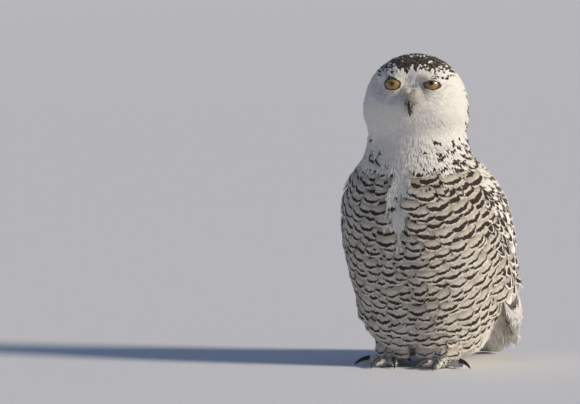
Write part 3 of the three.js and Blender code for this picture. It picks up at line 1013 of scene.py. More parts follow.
def hooked(root, ahead, aside, reach, width, tilt, curl, profile, sides=20, steps=15):
    """Rings along a line that starts `tilt` below level and bends down by `curl`."""
    rings = []
    place = np.array(root, float)
    up = np.cross(aside, ahead)
    up = up if up[2] > 0 else -up
    step = reach / (steps - 1)
    angles = np.linspace(0, 2 * math.pi, sides, endpoint=False)
    for index in range(steps):
        t = index / (steps - 1)
        heading = tilt + curl * t
        onward = ahead * math.cos(heading) - up * math.sin(heading)
        above = ahead * math.sin(heading) + up * math.cos(heading)
        if index:
            place = place + onward * step
        wide, high, keel = profile(t)
        across = wide * np.sin(angles) * (1 - keel * (1 + np.cos(angles)) / 2)
        beside = np.outer(across * width, aside)
        rings.append(place + beside + np.outer(high * width * np.cos(angles), above))
    return rings


def bill_profile(t):
    """Widths of the bill: broad and deep at the root, keeled above, sharp at the hook."""
    taper = math.sqrt(max(0.0, 1 - t ** 1.6))
    return 0.02 + 0.98 * taper, 0.02 + 1.12 * taper, 0.34


def claw_profile(t):
    taper = math.sqrt(max(0.0, 1 - 0.992 * t))
    return taper, taper * 1.06, 0.15


class OWL_OT_bill(bpy.types.Operator):
    """Upper and lower bill."""
    bl_idname = "owl.bill"
    bl_label = "Bill"

    def execute(self, context):
        horn = settings("owl_horn")
        material = horn_material()
        upper = hooked(from_head(BILL_BASE), FORWARD, LEFTWARD, horn.bill_length, horn.bill_width,
                       math.radians(28), math.radians(62), bill_profile, 24, 20)
        piece = lofted("bill_hook", upper)
        finished(piece, ["bill_upper"], [material])
        below = from_head(BILL_BASE + np.array((0, 1, -12)) * MM)
        lower = hooked(below, FORWARD, LEFTWARD, horn.bill_length * 0.62, horn.bill_width * 0.7,
                       math.radians(50), math.radians(15), claw_profile)
        piece = lofted("bill_jaw", lower)
        finished(piece, ["bill_lower"], [material])
        return {"FINISHED"}


TOES = {
    "inner": (-24, 45, 25),
    "middle": (6, 51, 26),
    "outer": (62, 41, 22),
    "hind": (-166, 28, 22),
}   # turn outward in degrees, length of toe and of claw in millimetres
CLAW_HEIGHT = 12.35 * MM
CLAW_SUNK = 5                   # how far a claw starts inside its toe, in millimetres


class OWL_OT_claws(bpy.types.Operator):
    """Four claws on each foot."""
    bl_idname = "owl.claws"
    bl_label = "Claws"

    def execute(self, context):
        horn = settings("owl_horn")
        material = bpy.data.materials["horn"]
        for side, hand in SIDES.items():
            for toe, (turn, toe_length, claw_length) in TOES.items():
                angle = math.radians(turn)
                ahead = np.array((math.sin(angle) * hand, -math.cos(angle), 0))
                aside = np.array((-ahead[1], ahead[0], 0))
                root = SOLES[side] + ahead * (toe_length - CLAW_SUNK) * MM + UP * CLAW_HEIGHT
                rings = hooked(root, ahead, aside, (claw_length + CLAW_SUNK) * MM, horn.claw_width,
                               0, math.radians(43), claw_profile, 14, 12)
                piece = lofted(f"talon_{side}_{toe}", rings)
                finished(piece, [f"claw_{side}_{toe}"], [material])
        return {"FINISHED"}


# ------------------------------------------------------------------- stage

POINT = 1.54 * MM               # size of one point of the frame at the owl
FRAME_MIDDLE = (290, 202)       # middle of the frame, in points from its upper left corner
FOOT_POINT = (425.5, 365)       # where the near foot stands in the frame
FOOT = np.array((0, -63.4465, 0)) * MM
FLOOR_SIZE = 80
FLOOR_FLAT = 8                  # how far the floor stays flat round the owl
FLOOR_RISE = 0.0022             # how steeply it climbs farther out
KEY_WAY, KEY_SPREAD, KEY_TINT = (87, 24), 14, (1.0, 0.90, 0.76)
FILL_WAY, FILL_SPREAD, FILL_TINT = (-35, 40), 80, (0.72, 0.83, 1.0)
SKY_TINT, SKY_STRENGTH = (0.42, 0.59, 1.0), 0.2


def arm_to(turn, rise):
    """Unit arm towards a turn to the owl's left of its front and a height."""
    level = math.cos(rise)
    return np.array((math.sin(turn) * level, -math.cos(turn) * level, math.sin(rise)))


class OWL_OT_stage(bpy.types.Operator):
    """Camera, floor and light."""
    bl_idname = "owl.stage"
    bl_label = "Stage"

    def execute(self, context):
        stage = settings("owl_stage")
        turn, rise = stage.turn, stage.rise
        right = np.array((math.cos(turn), math.sin(turn), 0))
        toward = arm_to(turn, rise)
        upward = np.cross(toward, right)
        aside, below = np.array(FRAME_MIDDLE) - FOOT_POINT
        aim = FOOT + right * aside * POINT - upward * below * POINT
        deselect()
        bpy.ops.object.camera_add(location=Vector(aim + toward * stage.distance))
        camera = bpy.context.object
        camera.rotation_euler = Matrix((right, upward, toward)).transposed().to_euler()
        camera.data.sensor_width = 36
        camera.data.lens = stage.lens
        camera.data.clip_end = 100
        bpy.context.scene.camera = camera
        self.lamp("key", KEY_WAY, KEY_SPREAD, stage.key, KEY_TINT)
        self.lamp("fill", FILL_WAY, FILL_SPREAD, stage.fill, FILL_TINT)
        self.floor(stage)
        world = bpy.data.worlds.new("studio")
        world.use_nodes = True
        sky = world.node_tree.nodes["Background"]
        put_in(world.node_tree, sky, Color=shade(SKY_TINT), Strength=SKY_STRENGTH)
        bpy.context.scene.world = world
        bpy.context.scene.view_settings.view_transform = "Standard"
        return {"FINISHED"}

    def lamp(self, name, way, spread, strength, tint):
        """A distant soft light from a turn and height that fills an angle, all in degrees."""
        turn, height = map(math.radians, way)
        back = Vector(arm_to(turn, height))
        bpy.ops.object.light_add(type="SUN", location=back)
        light = bpy.context.object
        light.name = name
        light.rotation_euler = back.to_track_quat("Z", "Y").to_euler()
        light.data.angle = math.radians(spread)
        light.data.energy = strength
        light.data.color = tint

    def floor(self, stage):
        """A plain floor that runs up into a backdrop."""
        deselect()
        bpy.ops.mesh.primitive_grid_add(x_subdivisions=80, y_subdivisions=80, size=FLOOR_SIZE)
        floor = bpy.context.object
        points = vertices_of(floor)
        far = np.maximum(np.linalg.norm(points, axis=1) - FLOOR_FLAT, 0)
        points[:, 2] = FLOOR_RISE * far ** 2
        put_vertices(floor, points)
        bpy.ops.object.shade_smooth()
        floor.name = "floor"
        material, *_ = principled("studio_floor", Base_Color=shade(stage.floor), Roughness=0.7)
        floor.data.materials.append(material)


# ------------------------------------------------------------- feather shapes

VANE_SPANS = (0, 0.35, 0.6, 0.78, 0.9, 0.97, 1)
VANE_WIDTHS = (0.35, 0.8, 1, 1, 0.84, 0.55, 0.22)
BREAST_WIDTHS = (0.35, 0.8, 1, 1, 0.93, 0.76, 0.46)
SCALE_SPANS = (0, 0.45, 0.8, 1)
SCALE_WIDTHS = (0.5, 1, 0.85, 0.3)
VANE_RING = ((-1, 0), (-0.6, 1), (0, 1.35), (0.6, 1), (1, 0), (0, -0.7))
TUFT_SPANS = (0, 0.4, 0.78, 1)
TUFT_WIDTHS = (0.35, 1, 0.72, 0.05)
LOCK_SPANS = (0, 0.5, 1)
LOCK_WIDTHS = (0.5, 1, 0.05)
TUFT_RING = ((-1, 0), (0, 1), (1, 0))


def lofted_faces(stations, sides):
    """Faces of a closed tube through rings: its sides, then its two ends."""
    faces = []
    for k in range(stations - 1):
        for j in range(sides):
            a, b = k * sides + j, k * sides + (j + 1) % sides
            faces.append((a, b, b + sides, a + sides))
    last = (stations - 1) * sides
    faces.append(tuple(reversed(range(sides))))
    faces.append(tuple(last + j for j in range(sides)))
    return faces


BARB_FACES = [(0, 3, 1), (0, 2, 3), (2, 1, 3), (0, 1, 2)]
BARB_CORNERS = ((0, 0), (1, 0), (0, 1), (1, 1))
BARB_PATCH = 3e-4               # size of one barb on the unwrap
BARB_WIDTH = 0.34               # half a barb's width at its root, in millimetres
BARB_SUNK = 0.9                 # how far a barb starts inside its feather, in millimetres


class Plumes:
    """Feather shapes gathered into one mesh with their maps and marks."""

    def __init__(self, name, unwrap, soft=0.5):
        self.name = name
        self.unwrap = unwrap
        self.soft = soft
        self.parts = []

    def facing(self, above, normals):
        """Shading normals between the feathers' own and the skin's under them."""
        return unit(above * (1 - self.soft) + normals * self.soft)

    def add(self, points, faces, bake, vane, mark, facing):
        """Adds shapes with the same faces: rows of corners, and three numbers to mark each shape."""
        index = np.concatenate([np.array(face) for face in faces])
        sizes = np.array([len(face) for face in faces])
        marks = np.repeat(mark[:, None, :], points.shape[1], axis=1)
        self.parts.append((points, index, sizes, bake, vane, marks, facing))

    def build(self, material, replaced=()):
        """Makes the mesh and hands it to the frame."""
        corners, sizes, columns = [], [], [[], [], [], [], []]
        start = 0
        for points, index, size, bake, vane, marks, facing in self.parts:
            count, each = points.shape[:2]
            offsets = start + each * np.arange(count)
            corners.append((offsets[:, None] + index[None]).ravel())
            sizes.append(np.tile(size, count))
            for column, values in zip(columns, (points, bake, vane, marks, facing)):
                column.append(values.reshape(count * each, -1))
            start += count * each
        corners, sizes = np.concatenate(corners), np.concatenate(sizes)
        points, bake, vane, marks, facing = (np.concatenate(column) for column in columns)
        mesh = bpy.data.meshes.new(self.name)
        mesh.vertices.add(len(points))
        mesh.vertices.foreach_set("co", points.astype(np.float32).ravel())
        mesh.loops.add(len(corners))
        mesh.loops.foreach_set("vertex_index", corners.astype(np.int32))
        mesh.polygons.add(len(sizes))
        starts = np.concatenate(((0,), np.cumsum(sizes)[:-1]))
        mesh.polygons.foreach_set("loop_start", starts.astype(np.int32))
        mesh.update(calc_edges=True)
        for label, values in (("OFBake", bake), ("vane", vane)):
            layer = mesh.uv_layers.new(name=label)
            layer.uv.foreach_set("vector", values[corners].astype(np.float32).ravel())
        mark = mesh.attributes.new("mark", "FLOAT_VECTOR", "POINT")
        mark.data.foreach_set("vector", marks.astype(np.float32).ravel())
        mesh.shade_smooth()
        flat = np.empty(len(sizes) * 3, np.float32)
        mesh.polygons.foreach_get("normal", flat)
        flat = np.repeat(flat.reshape(-1, 3), sizes, axis=0)
        facing = facing[corners]
        facing = np.where(dot(flat, facing) < -0.1, -facing, facing)
        mesh.normals_split_custom_set(facing.tolist())
        obj = bpy.data.objects.new(self.name, mesh)
        bpy.context.scene.collection.objects.link(obj)
        return finished(obj, replaced, [material])


def traced(surface, roots, ways, lengths, spans):
    """Centre lines over the surface: places and normals, one row of stations for each root."""
    places = np.empty((len(roots), len(spans), 3))
    normals = np.empty_like(places)
    here, normal, _ = surface.nearest(roots)
    way = flat_on(ways, normal)
    for k, at in enumerate(spans):
        places[:, k], normals[:, k] = here, normal
        if k + 1 == len(spans):
            break
        goal = here + way * (lengths * (spans[k + 1] - at))[:, None]
        found, facing, _ = surface.nearest(goal)
        free = ((facing[:, 2] < -0.35) | (dot(facing, normal)[:, 0] < 0.2))[:, None]
        here = np.where(free, goal, found)
        normal = np.where(free, normal, unit(facing + 0.35 * normal))
        way = np.where(free, unit(way - 0.25 * UP), flat_on(way, normal))
    return places, normals


class Lay:
    """Centre lines with their frames, lifted off the surface from root to tip."""

    def __init__(self, surface, roots, ways, lengths, spans, lift, rng, roll=0.0):
        places, normals = traced(surface, roots, ways, lengths, spans)
        self.lengths = lengths
        self.spans = np.array(spans)
        low, high = lift
        rise = low + (np.reshape(high, (-1, 1)) - low) * self.spans ** 1.15
        self.middle = places + normals * rise[..., None]
        self.ahead = unit(np.gradient(self.middle, axis=1))
        side = unit(np.cross(self.ahead, normals))
        above = np.cross(side, self.ahead)
        angle = rng.normal(0, 1, (len(roots), 1, 1)) * roll
        self.side = side * np.cos(angle) + above * np.sin(angle)
        self.above = above * np.cos(angle) - side * np.sin(angle)
        self.normals = normals

    @classmethod
    def through(cls, middle, normals, lengths, spans):
        """Centre lines through given stations."""
        lay = cls.__new__(cls)
        lay.middle, lay.lengths, lay.spans = middle, lengths, np.array(spans)
        lay.normals = np.broadcast_to(normals, middle.shape)
        lay.ahead = unit(np.gradient(middle, axis=1))
        lay.side = unit(np.cross(lay.ahead, lay.normals))
        lay.above = np.cross(lay.side, lay.ahead)
        return lay

    def cut(self, kept):
        """Drops the lines that aren't kept."""
        for name in ("lengths", "middle", "ahead", "side", "above", "normals"):
            setattr(self, name, getattr(self, name)[kept])

    def at(self, values, spot):
        """Values at places between stations; spot is 0 at the root and 1 at the tip."""
        k = np.clip(np.searchsorted(self.spans, spot, side="right") - 1, 0, len(self.spans) - 2)
        t = (spot - self.spans[k]) / (self.spans[k + 1] - self.spans[k])
        rows = np.arange(len(values))[:, None]
        return values[rows, k] * (1 - t[..., None]) + values[rows, k + 1] * t[..., None]


def spread_uv(plumes, roots, size, across, along):
    """Each shape's patch on the unwrap: across and along run from -1 to 1."""
    centre = plumes.unwrap(roots)
    size = np.broadcast_to(np.asarray(size, float), centre.shape)
    offset = np.stack(np.broadcast_arrays(across, along), axis=-1)
    return centre[:, None, :] + offset * size[:, None, :] / 2


def ringed(middle, lay, across, height):
    """Corners of rings round centre lines, one row for each shape."""
    points = (middle[:, :, None] + lay.side[:, :, None] * across[..., None]
              + lay.above[:, :, None] * height[..., None])
    return points.reshape(len(middle), -1, 3)


def ring_maps(plumes, lay, roots, widths, patch, across, drift=0.0):
    """The unwrap of rings, and their places from the feather's middle line and tip."""
    count = len(roots)
    along = np.broadcast_to((2 * lay.spans - 1)[None, :, None], across.shape).reshape(count, -1)
    share = (across / widths[:, None, None]).reshape(count, -1)
    from_tip = ((1 - lay.spans)[None] * lay.lengths[:, None])[..., None]
    vane = np.stack((across + drift, np.broadcast_to(from_tip, across.shape)), axis=-1)
    return spread_uv(plumes, roots, patch, share, along), vane.reshape(count, -1, 2)


def add_vanes(plumes, lay, roots, widths, amount, rng, patch, thick=0.34, camber=0.16, down=1.0,
              outline=VANE_WIDTHS, barbs=18, barb_length=5.0, uneven=0.05):
    """Flat rounded feathers with a fringe of loose barbs round the tip."""
    count = len(roots)
    seed = rng.random(count)
    wide = widths[:, None] * np.array(outline)[None] * (1 + rng.normal(0, uneven, (count, len(outline))))
    ring = np.array(VANE_RING)
    across = ring[None, None, :, 0] * wide[..., None]
    sag = -camber * ring[None, None, :, 0] ** 2 * wide[..., None]
    height = sag + ring[None, None, :, 1] * thick * MM * np.array(outline)[None, :, None] ** 0.5
    points = ringed(lay.middle, lay, across, height)
    bake, vane = ring_maps(plumes, lay, roots, widths, patch, across)
    # The third number, down, sets how strongly painted shade darkens each feather towards its root.
    mark = np.stack((amount, seed, np.full(count, down)), axis=1)
    faces = lofted_faces(len(lay.spans), len(ring))
    facing = plumes.facing(lay.above, lay.normals)[:, :, None]
    facing = unit(facing + lay.side[:, :, None] * (2 * camber * ring[:, 0])[:, None])
    plumes.add(points, faces, bake, vane, mark, facing.reshape(count, -1, 3))
    if barbs:
        add_fringe(plumes, lay, roots, widths, wide, camber, mark, rng, patch, barbs, barb_length)


def add_fringe(plumes, lay, roots, widths, wide, camber, mark, rng, patch, barbs, barb_length):
    """Loose barbs, slender four-sided spikes, fanned round the tip of each feather."""
    count = len(roots)
    turn = np.linspace(-1, 1, barbs)[None] + rng.normal(0, 0.05, (count, barbs))
    spot = np.clip(1 - 0.42 * np.abs(turn) ** 1.7, 0.5, 0.995)
    edge = lay.at(wide[..., None], spot)[..., 0] * np.sign(turn)
    middle, ahead, side, above = (
        lay.at(values, spot) for values in (lay.middle, lay.ahead, lay.side, lay.above))
    base = middle + side * (edge * 0.93)[..., None]
    base = base - above * (camber * edge ** 2 / widths[:, None] * 0.9)[..., None]
    lean = np.radians(6 + 34 * np.abs(turn) + rng.normal(0, 7, turn.shape)) * np.sign(turn)
    onward = unit(ahead * np.cos(lean)[..., None] + side * np.sin(lean)[..., None]
                  + above * rng.normal(-0.06, 0.07, turn.shape)[..., None])
    sideways = unit(np.cross(onward, above))
    reach = barb_length * MM * (0.45 + 0.75 * rng.random(turn.shape))
    start = base - onward * BARB_SUNK * MM
    points = np.stack((start - sideways * BARB_WIDTH * MM, start + sideways * BARB_WIDTH * MM,
                       start + above * BARB_WIDTH * MM, base + onward * reach[..., None]), axis=2)
    from_tip = (1 - spot) * lay.lengths[:, None]
    tip = np.stack((edge, from_tip), axis=-1)
    outer = np.stack((edge * 1.1, from_tip - reach), axis=-1)
    vane = np.stack((tip, tip, tip, outer), axis=2)
    bake = spread_uv(plumes, roots, patch, edge / widths[:, None], 2 * spot - 1)
    bake = np.repeat(bake[:, :, None], 4, axis=2) + np.array(BARB_CORNERS) * BARB_PATCH
    facing = plumes.facing(above, lay.at(lay.normals, spot))
    facing = unit(facing + side * (2 * camber * edge / widths[:, None])[..., None])
    facing = np.repeat(facing[:, :, None], 4, axis=2)
    flat = (count * barbs, 4)
    plumes.add(points.reshape(*flat, 3), BARB_FACES, bake.reshape(*flat, 2), vane.reshape(*flat, 2),
               np.repeat(mark, barbs, axis=0), facing.reshape(*flat, 3))


def add_tufts(plumes, lay, roots, widths, amount, rng, outline, blades=3, fan=0.25, thick=0.5,
              down=0.0, patch=0.0034, split=0.35, wave=0.045):
    """Soft tufts of slender blades that share a root and fan out along the lie of the coat."""
    count = len(roots)
    seed = rng.random(count)
    ring = np.array(TUFT_RING)
    fade = np.array(outline)
    faces = lofted_faces(len(lay.spans), len(ring))
    # The third number, down, sets how strongly painted shade darkens each tuft towards its root.
    mark = np.stack((amount, seed, np.full(count, down)), axis=1)
    facing = np.repeat(plumes.facing(lay.above, lay.normals), len(ring), axis=1)
    for blade in range(blades):
        place = (blade - (blades - 1) / 2) * 2 / max(blades - 1, 1)
        drift = (place * fan + rng.normal(0, fan * 0.45, count)) * lay.lengths
        shift = drift[:, None] * lay.spans[None] ** 1.3
        short = 1 - 0.22 * rng.random(count)
        scale = 1 + (short[:, None] - 1) * lay.spans[None]
        lift = rng.normal(0, wave, count)[:, None] * lay.lengths[:, None] * lay.spans[None] ** 1.5
        root = lay.middle[:, :1]
        middle = root + (lay.middle - root) * scale[..., None]
        middle = middle + lay.side * shift[..., None] + lay.above * lift[..., None]
        wide = widths[:, None] * fade[None] * (1 + split * (rng.random((count, 1)) - 0.5))
        across = ring[None, None, :, 0] * wide[..., None]
        height = ring[None, None, :, 1] * wide[..., None] * thick
        bake, vane = ring_maps(plumes, lay, roots, widths, patch, across, shift[..., None])
        plumes.add(ringed(middle, lay, across, height), faces, bake, vane, mark, facing)


# ---------------------------------------------------------- where feathers grow

def scattered(surface, keep, share, rng):
    """Random places on the faces to keep, `share` for each square metre."""
    weights = surface.areas * keep
    count = int(weights.sum() * share)
    faces = rng.choice(len(weights), size=count, p=weights / weights.sum())
    corners = np.array([surface.points[list(surface.faces[f])[:3]] for f in faces])
    mix = rng.random((count, 2))
    three = np.array([len(surface.faces[f]) == 3 for f in faces])
    mix = np.where(three[:, None], np.sort(mix, axis=1)[:, ::-1], mix)
    spots = (corners[:, 1] + (corners[:, 0] - corners[:, 1]) * mix[:, :1]
             + (corners[:, 2] - corners[:, 1]) * mix[:, 1:])
    return spots, surface.normals[faces]


def apart(spots, ways, normals, along, across):
    """Numbers of the spots kept so that none are too close, along the lie or across it."""
    sides = np.cross(ways, normals)
    along = np.broadcast_to(along, len(spots)).tolist()
    across = np.broadcast_to(across, len(spots)).tolist()
    cell = max(max(along), max(across))
    keys = np.floor(spots / cell).astype(int).tolist()
    spots, ways, sides = spots.tolist(), ways.tolist(), sides.tolist()
    buckets, kept = {}, []
    near = [(i, j, k) for i in (-1, 0, 1) for j in (-1, 0, 1) for k in (-1, 0, 1)]
    for n, (x, y, z) in enumerate(spots):
        a, b, c = keys[n]
        (wx, wy, wz), (sx, sy, sz) = ways[n], sides[n]
        la, lc = 1 / along[n], 1 / across[n]
        clear = True
        for i, j, k in near:
            for (px, py, pz) in buckets.get((a + i, b + j, c + k), ()):
                dx, dy, dz = px - x, py - y, pz - z
                u = (dx * wx + dy * wy + dz * wz) * la
                v = (dx * sx + dy * sy + dz * sz) * lc
                if u * u + v * v < 1:
                    clear = False
                    break
            if not clear:
                break
        if clear:
            buckets.setdefault((a, b, c), []).append((x, y, z))
            kept.append(n)
    return np.array(kept)


def head_lie(points):
    """The lie of the head's feathers: away from the bill and round the eyes, down behind."""
    local = in_head(points)
    muzzle = local - np.array((0, -70, -14)) * MM
    way = unit(muzzle)
    for side in SIDES:
        arm = local - in_head(EYE_CENTRES[side][None])[0] + np.array((0, 8, 0)) * MM
        near = np.exp(-(np.linalg.norm(arm, axis=1) / (21 * MM)) ** 2)[:, None]
        way = way + unit(arm) * 1.8 * near
    way = way + np.array((0, 0, -0.22))
    behind = ease(local[:, 1], 0, 45 * MM)[:, None]
    way = way * (1 - behind) + np.array((0, 0.15, -1.0)) * behind
    return way @ HEAD_AXES.T


def body_lie(points):
    """The lie of neck, breast and back: down, and backward over the flanks."""
    angle = bearing(points)
    turned = np.degrees(np.abs(angle))
    height = points[:, 2] / MM
    backward = 0.85 * ease(turned, 5, 75) * ease(turned, 180, 110)
    backward *= 0.35 + 0.65 * ease(height, 40, 120)
    backward *= 0.4 + 0.6 * ease(height, 350, 280)
    round_body = np.stack((np.cos(angle), np.sin(angle), 0 * angle), axis=1) * np.sign(angle)[:, None]
    return -UP + backward[:, None] * round_body


def wing_lie(points):
    """The lie of the wing: from the shoulder towards its tip over the tail."""
    side = np.sign(points[:, :1])
    tip = side * np.array((12, 0, 0)) * MM + np.array((0, 178, 26)) * MM
    return unit(tip - points) - 0.25 * UP


def round_body(first, last, low, high):
    """Unwrap of a stretch of the body: angle round it and height."""
    def unwrap(points):
        turned = np.degrees(bearing(points))
        turned = np.where(turned < first - 1, turned + 360, turned)
        u = (turned - first) / (last - first)
        v = (points[:, 2] / MM - low) / (high - low)
        return np.stack((0.03 + 0.94 * u, 0.03 + 0.94 * v), axis=1)
    return unwrap


def round_pole(pole, reach):
    """Unwrap of a cap of the head, flattened round a pole given in the head's axes."""
    axis = unit(np.array(pole, float))
    east = unit(np.cross((0.0, 0.0, 1.0) if abs(axis[2]) < 0.9 else (0.0, 1.0, 0.0), axis))
    north = np.cross(axis, east)
    middle = np.array((0, 0, -25)) * MM

    def unwrap(points):
        arm = unit(in_head(points) - middle)
        away = np.degrees(np.arccos(np.clip(arm @ axis, -1, 1))) / reach / 2.08
        way = np.arctan2(arm @ north, arm @ east)
        return np.stack((0.5 + away * np.cos(way), 0.5 + away * np.sin(way)), axis=1)
    return unwrap


def skin_surface():
    return Surface(bpy.data.objects["skin"])


def surface_of(obj):
    """The surface of a helper object, which is then removed."""
    surface = Surface(obj)
    bpy.data.objects.remove(obj)
    return surface


def guide_surface(nodes):
    """The skin together with copies of frame nodes, to lay feathers over both."""
    copy = loose_copy(nodes, "guide")
    skin = bpy.data.objects["skin"].copy()
    skin.data = skin.data.copy()
    bpy.context.scene.collection.objects.link(skin)
    return surface_of(joined([copy, skin], "guide"))


def draws_for(step):
    """The random draws of one step of the coat."""
    return np.random.default_rng(settings("owl_coat").seed + step)


# ------------------------------------------------------------------ the coat

BARRED = {"First": 4.2, "Spacing": 16, "Bars": 2, "Thickness": 4.4, "Reach": 21, "Arch": 0.012, "Fray": 3.8}
SPOTTED = {"First": 8.5, "Spacing": 20, "Bars": 2, "Thickness": 15, "Reach": 5.6, "Arch": 0.16, "Fray": 4.5}
MANTLE = {"First": 6.0, "Spacing": 15, "Bars": 2, "Thickness": 5.0, "Reach": 6.5, "Arch": 0.03, "Fray": 2.6}
CAPPED = {"First": 4.4, "Spacing": 30, "Bars": 1, "Thickness": 9.2, "Reach": 3.4, "Arch": 0.08, "Fray": 1.8}
# Marks for the face tufts: the brown brow mark over the left eye and the painted shade over the right.
BROW_MARK_AND_SHADE = {"First": 1.4, "Spacing": 30, "Bars": 1, "Thickness": 4.5, "Reach": 4, "Arch": 0.02, "Fray": 1}
FLECKED = {"First": 3.6, "Spacing": 30, "Bars": 1, "Thickness": 7.2, "Reach": 7, "Arch": 0.02, "Fray": 1.5}
PLAIN = {"First": 3.5, "Spacing": 20, "Bars": 1, "Thickness": 4.5, "Reach": 3.5, "Arch": 0.05, "Fray": 1.5}


BREAST_PATCH = (16 / 225, 12 / 395)         # size of one feather on the unwrap, across and along
CROWN_PATCH = (0.008, 0.008)
BACK_PATCH = (0.05, 0.045)
SOFT = 0.85                     # share of the skin's own shading in short soft feathers


class OWL_OT_breast(bpy.types.Operator):
    """Rows of barred feathers over breast and belly, one piece for each side."""
    bl_idname = "owl.breast"
    bl_label = "Breast"

    def execute(self, context):
        coat = settings("owl_coat")
        rng = draws_for(0)
        surface = skin_surface()
        roots = self.rows(surface, coat, rng)
        angle = bearing(roots)
        for side, hand in SIDES.items():
            chosen = roots[np.sign(angle) == hand]
            first, last = (-5, 109) if hand > 0 else (-109, 5)
            plumes = Plumes("breast_" + side, round_body(first, last, 5, 400), 0.65)
            count = len(chosen)
            small = 0.72 + 0.28 * ease(chosen[:, 2], 60 * MM, 120 * MM)
            lengths = coat.breast_length * small * (1 + rng.normal(0, 0.06, count))
            widths = coat.breast_width * (0.45 + 0.55 * small) * (1 + rng.normal(0, 0.06, count))
            ways = unit(body_lie(chosen)) + rng.normal(0, 0.08, (count, 3))
            high = 4.2 * MM * (1 + rng.normal(0, 0.12, count))
            high *= 1 - 0.4 * ease(chosen[:, 2], 0.3, 0.35)
            lay = Lay(surface, chosen, ways, lengths, VANE_SPANS, (0.4 * MM, high), rng, 0.05)
            over_wing = np.isin(surface.parts[surface.nearest(lay.middle[:, 2])[2]], WINGS)
            tips = lay.middle[:, -2] / MM
            wide = parting_width(tips[:, 2])
            in_parting = (wide > 1) & (from_parting(tips * MM) < wide + 4)
            in_parting |= (np.abs(tips[:, 0]) < 15) & (tips[:, 2] < 33)
            amount = breast_amount(lay.middle[:, -1], rng.random(count))
            kept = ~(over_wing | in_parting | (amount < 0.3) & (tips[:, 2] > VANES_TOP))
            lay.cut(kept)
            chosen, widths, amount = chosen[kept], widths[kept], amount[kept]
            add_vanes(plumes, lay, chosen, widths, amount, rng, BREAST_PATCH, thick=0.2, camber=0.08,
                      outline=BREAST_WIDTHS, barbs=96, barb_length=3.8)
            plumes.build(plumage("barred_feather", 0.5, **BARRED))
        return {"FINISHED"}

    def rows(self, surface, coat, rng):
        """Roots in staggered rows that climb towards the flanks."""
        roots = []
        angles = np.radians(np.linspace(-104, 104, 209))
        heights = np.arange(48 * MM, 372 * MM, coat.row)
        for number, height in enumerate(heights):
            rise = 52 * MM * ease(np.degrees(np.abs(angles)), 0, 100) ** 1.2
            rise *= ease(height, 0, 150 * MM)
            level = height + rise
            start = np.stack((np.sin(angles), -np.cos(angles), 0 * angles), axis=1) * 0.25
            start[:, 2] = level
            start[:, 1] += body_middle(start)
            aim = np.stack((-np.sin(angles), np.cos(angles), 0 * angles), axis=1)
            line = []
            for spot, way in zip(start.tolist(), aim.tolist()):
                hit = surface.tree.ray_cast(spot, way)
                line.append(hit[0] if hit[0] else spot)
            line = np.array(line)
            steps = np.linalg.norm(np.diff(line, axis=0), axis=1)
            walked = np.concatenate(((0,), np.cumsum(steps)))
            walked -= walked[len(walked) // 2]
            offset = coat.column / 2 * (number % 2)
            most = int(walked[-1] / coat.column)
            stops = np.arange(-most - 1, most + 1) * coat.column + offset
            stops = stops + rng.normal(0, 0.8 * MM, len(stops))
            stops = stops[(stops > walked[0]) & (stops < walked[-1])]
            found = np.stack([np.interp(stops, walked, column) for column in line.T], axis=1)
            found[:, 2] += rng.normal(0, 1.1 * MM, len(found))
            roots.append(found)
        roots = np.concatenate(roots)
        places, _, faces = surface.nearest(roots)
        x = roots[:, 0] / MM
        top = 350 + 10 * ease(np.abs(x), 20, 36) + 34 * ease(x, 20, 55)
        inside = np.isin(surface.parts[faces], (NECK, TRUNK)) & (roots[:, 2] < top * MM)
        return places[inside]


def grow(surface, keep, space, lie, rng):
    """Roots of a coat and their lie: places kept apart along it and across it."""
    along, across = space
    spots, normals = scattered(surface, keep, 4.2 / (along * across), rng)
    ways = flat_on(lie(spots), normals)
    kept = apart(spots, ways, normals, along, across)
    return spots[kept], ways[kept]


class OWL_OT_bib(bpy.types.Operator):
    """Soft white tufts over bib and neck."""
    bl_idname = "owl.bib"
    bl_label = "Bib and neck"

    def execute(self, context):
        coat = settings("owl_coat")
        rng = draws_for(1)
        surface = skin_surface()
        height = surface.centres[:, 2] / MM
        turned = degrees_round(surface.centres)
        low = 328 + 4 * ease(turned, 10, 80)
        low += 22 * ease(surface.centres[:, 0] / MM, 40, 75)
        front = (surface.parts == NECK) | ((surface.parts == TRUNK) & (height > low))
        parting = from_parting(surface.centres) < parting_width(height - 14) + 2
        parting &= (height > 198) & (height < 330)
        front |= parting & (surface.parts == TRUNK) & (surface.centres[:, 1] < -0.1)
        front &= height < 372
        space = (coat.bib_space, coat.bib_space * 0.8)
        plumes = Plumes("bib", round_body(-180, 180, 190, 385), SOFT)
        roots, ways = grow(surface, front, space, body_lie, rng)
        count = len(roots)
        lengths = coat.bib_length * (0.8 + 0.4 * rng.random(count))
        ways = ways + rng.normal(0, 0.05, (count, 3))
        lift = (0.6 * MM, 3.9 * MM * (0.94 + 0.12 * rng.random(count)))
        lay = Lay(surface, roots, ways, lengths, TUFT_SPANS, lift, rng, 0.06)
        amount = bib_amount(lay.middle[:, -1], rng.random(count))
        widths = np.full(count, 2.4 * MM)
        add_tufts(plumes, lay, roots, widths, amount, rng, TUFT_WIDTHS, blades=3, fan=0.11, thick=0.08,
                  wave=0.02)
        plumes.build(plumage("bib_feather", 0.0, **FLECKED))
        return {"FINISHED"}


BRISTLES = 420


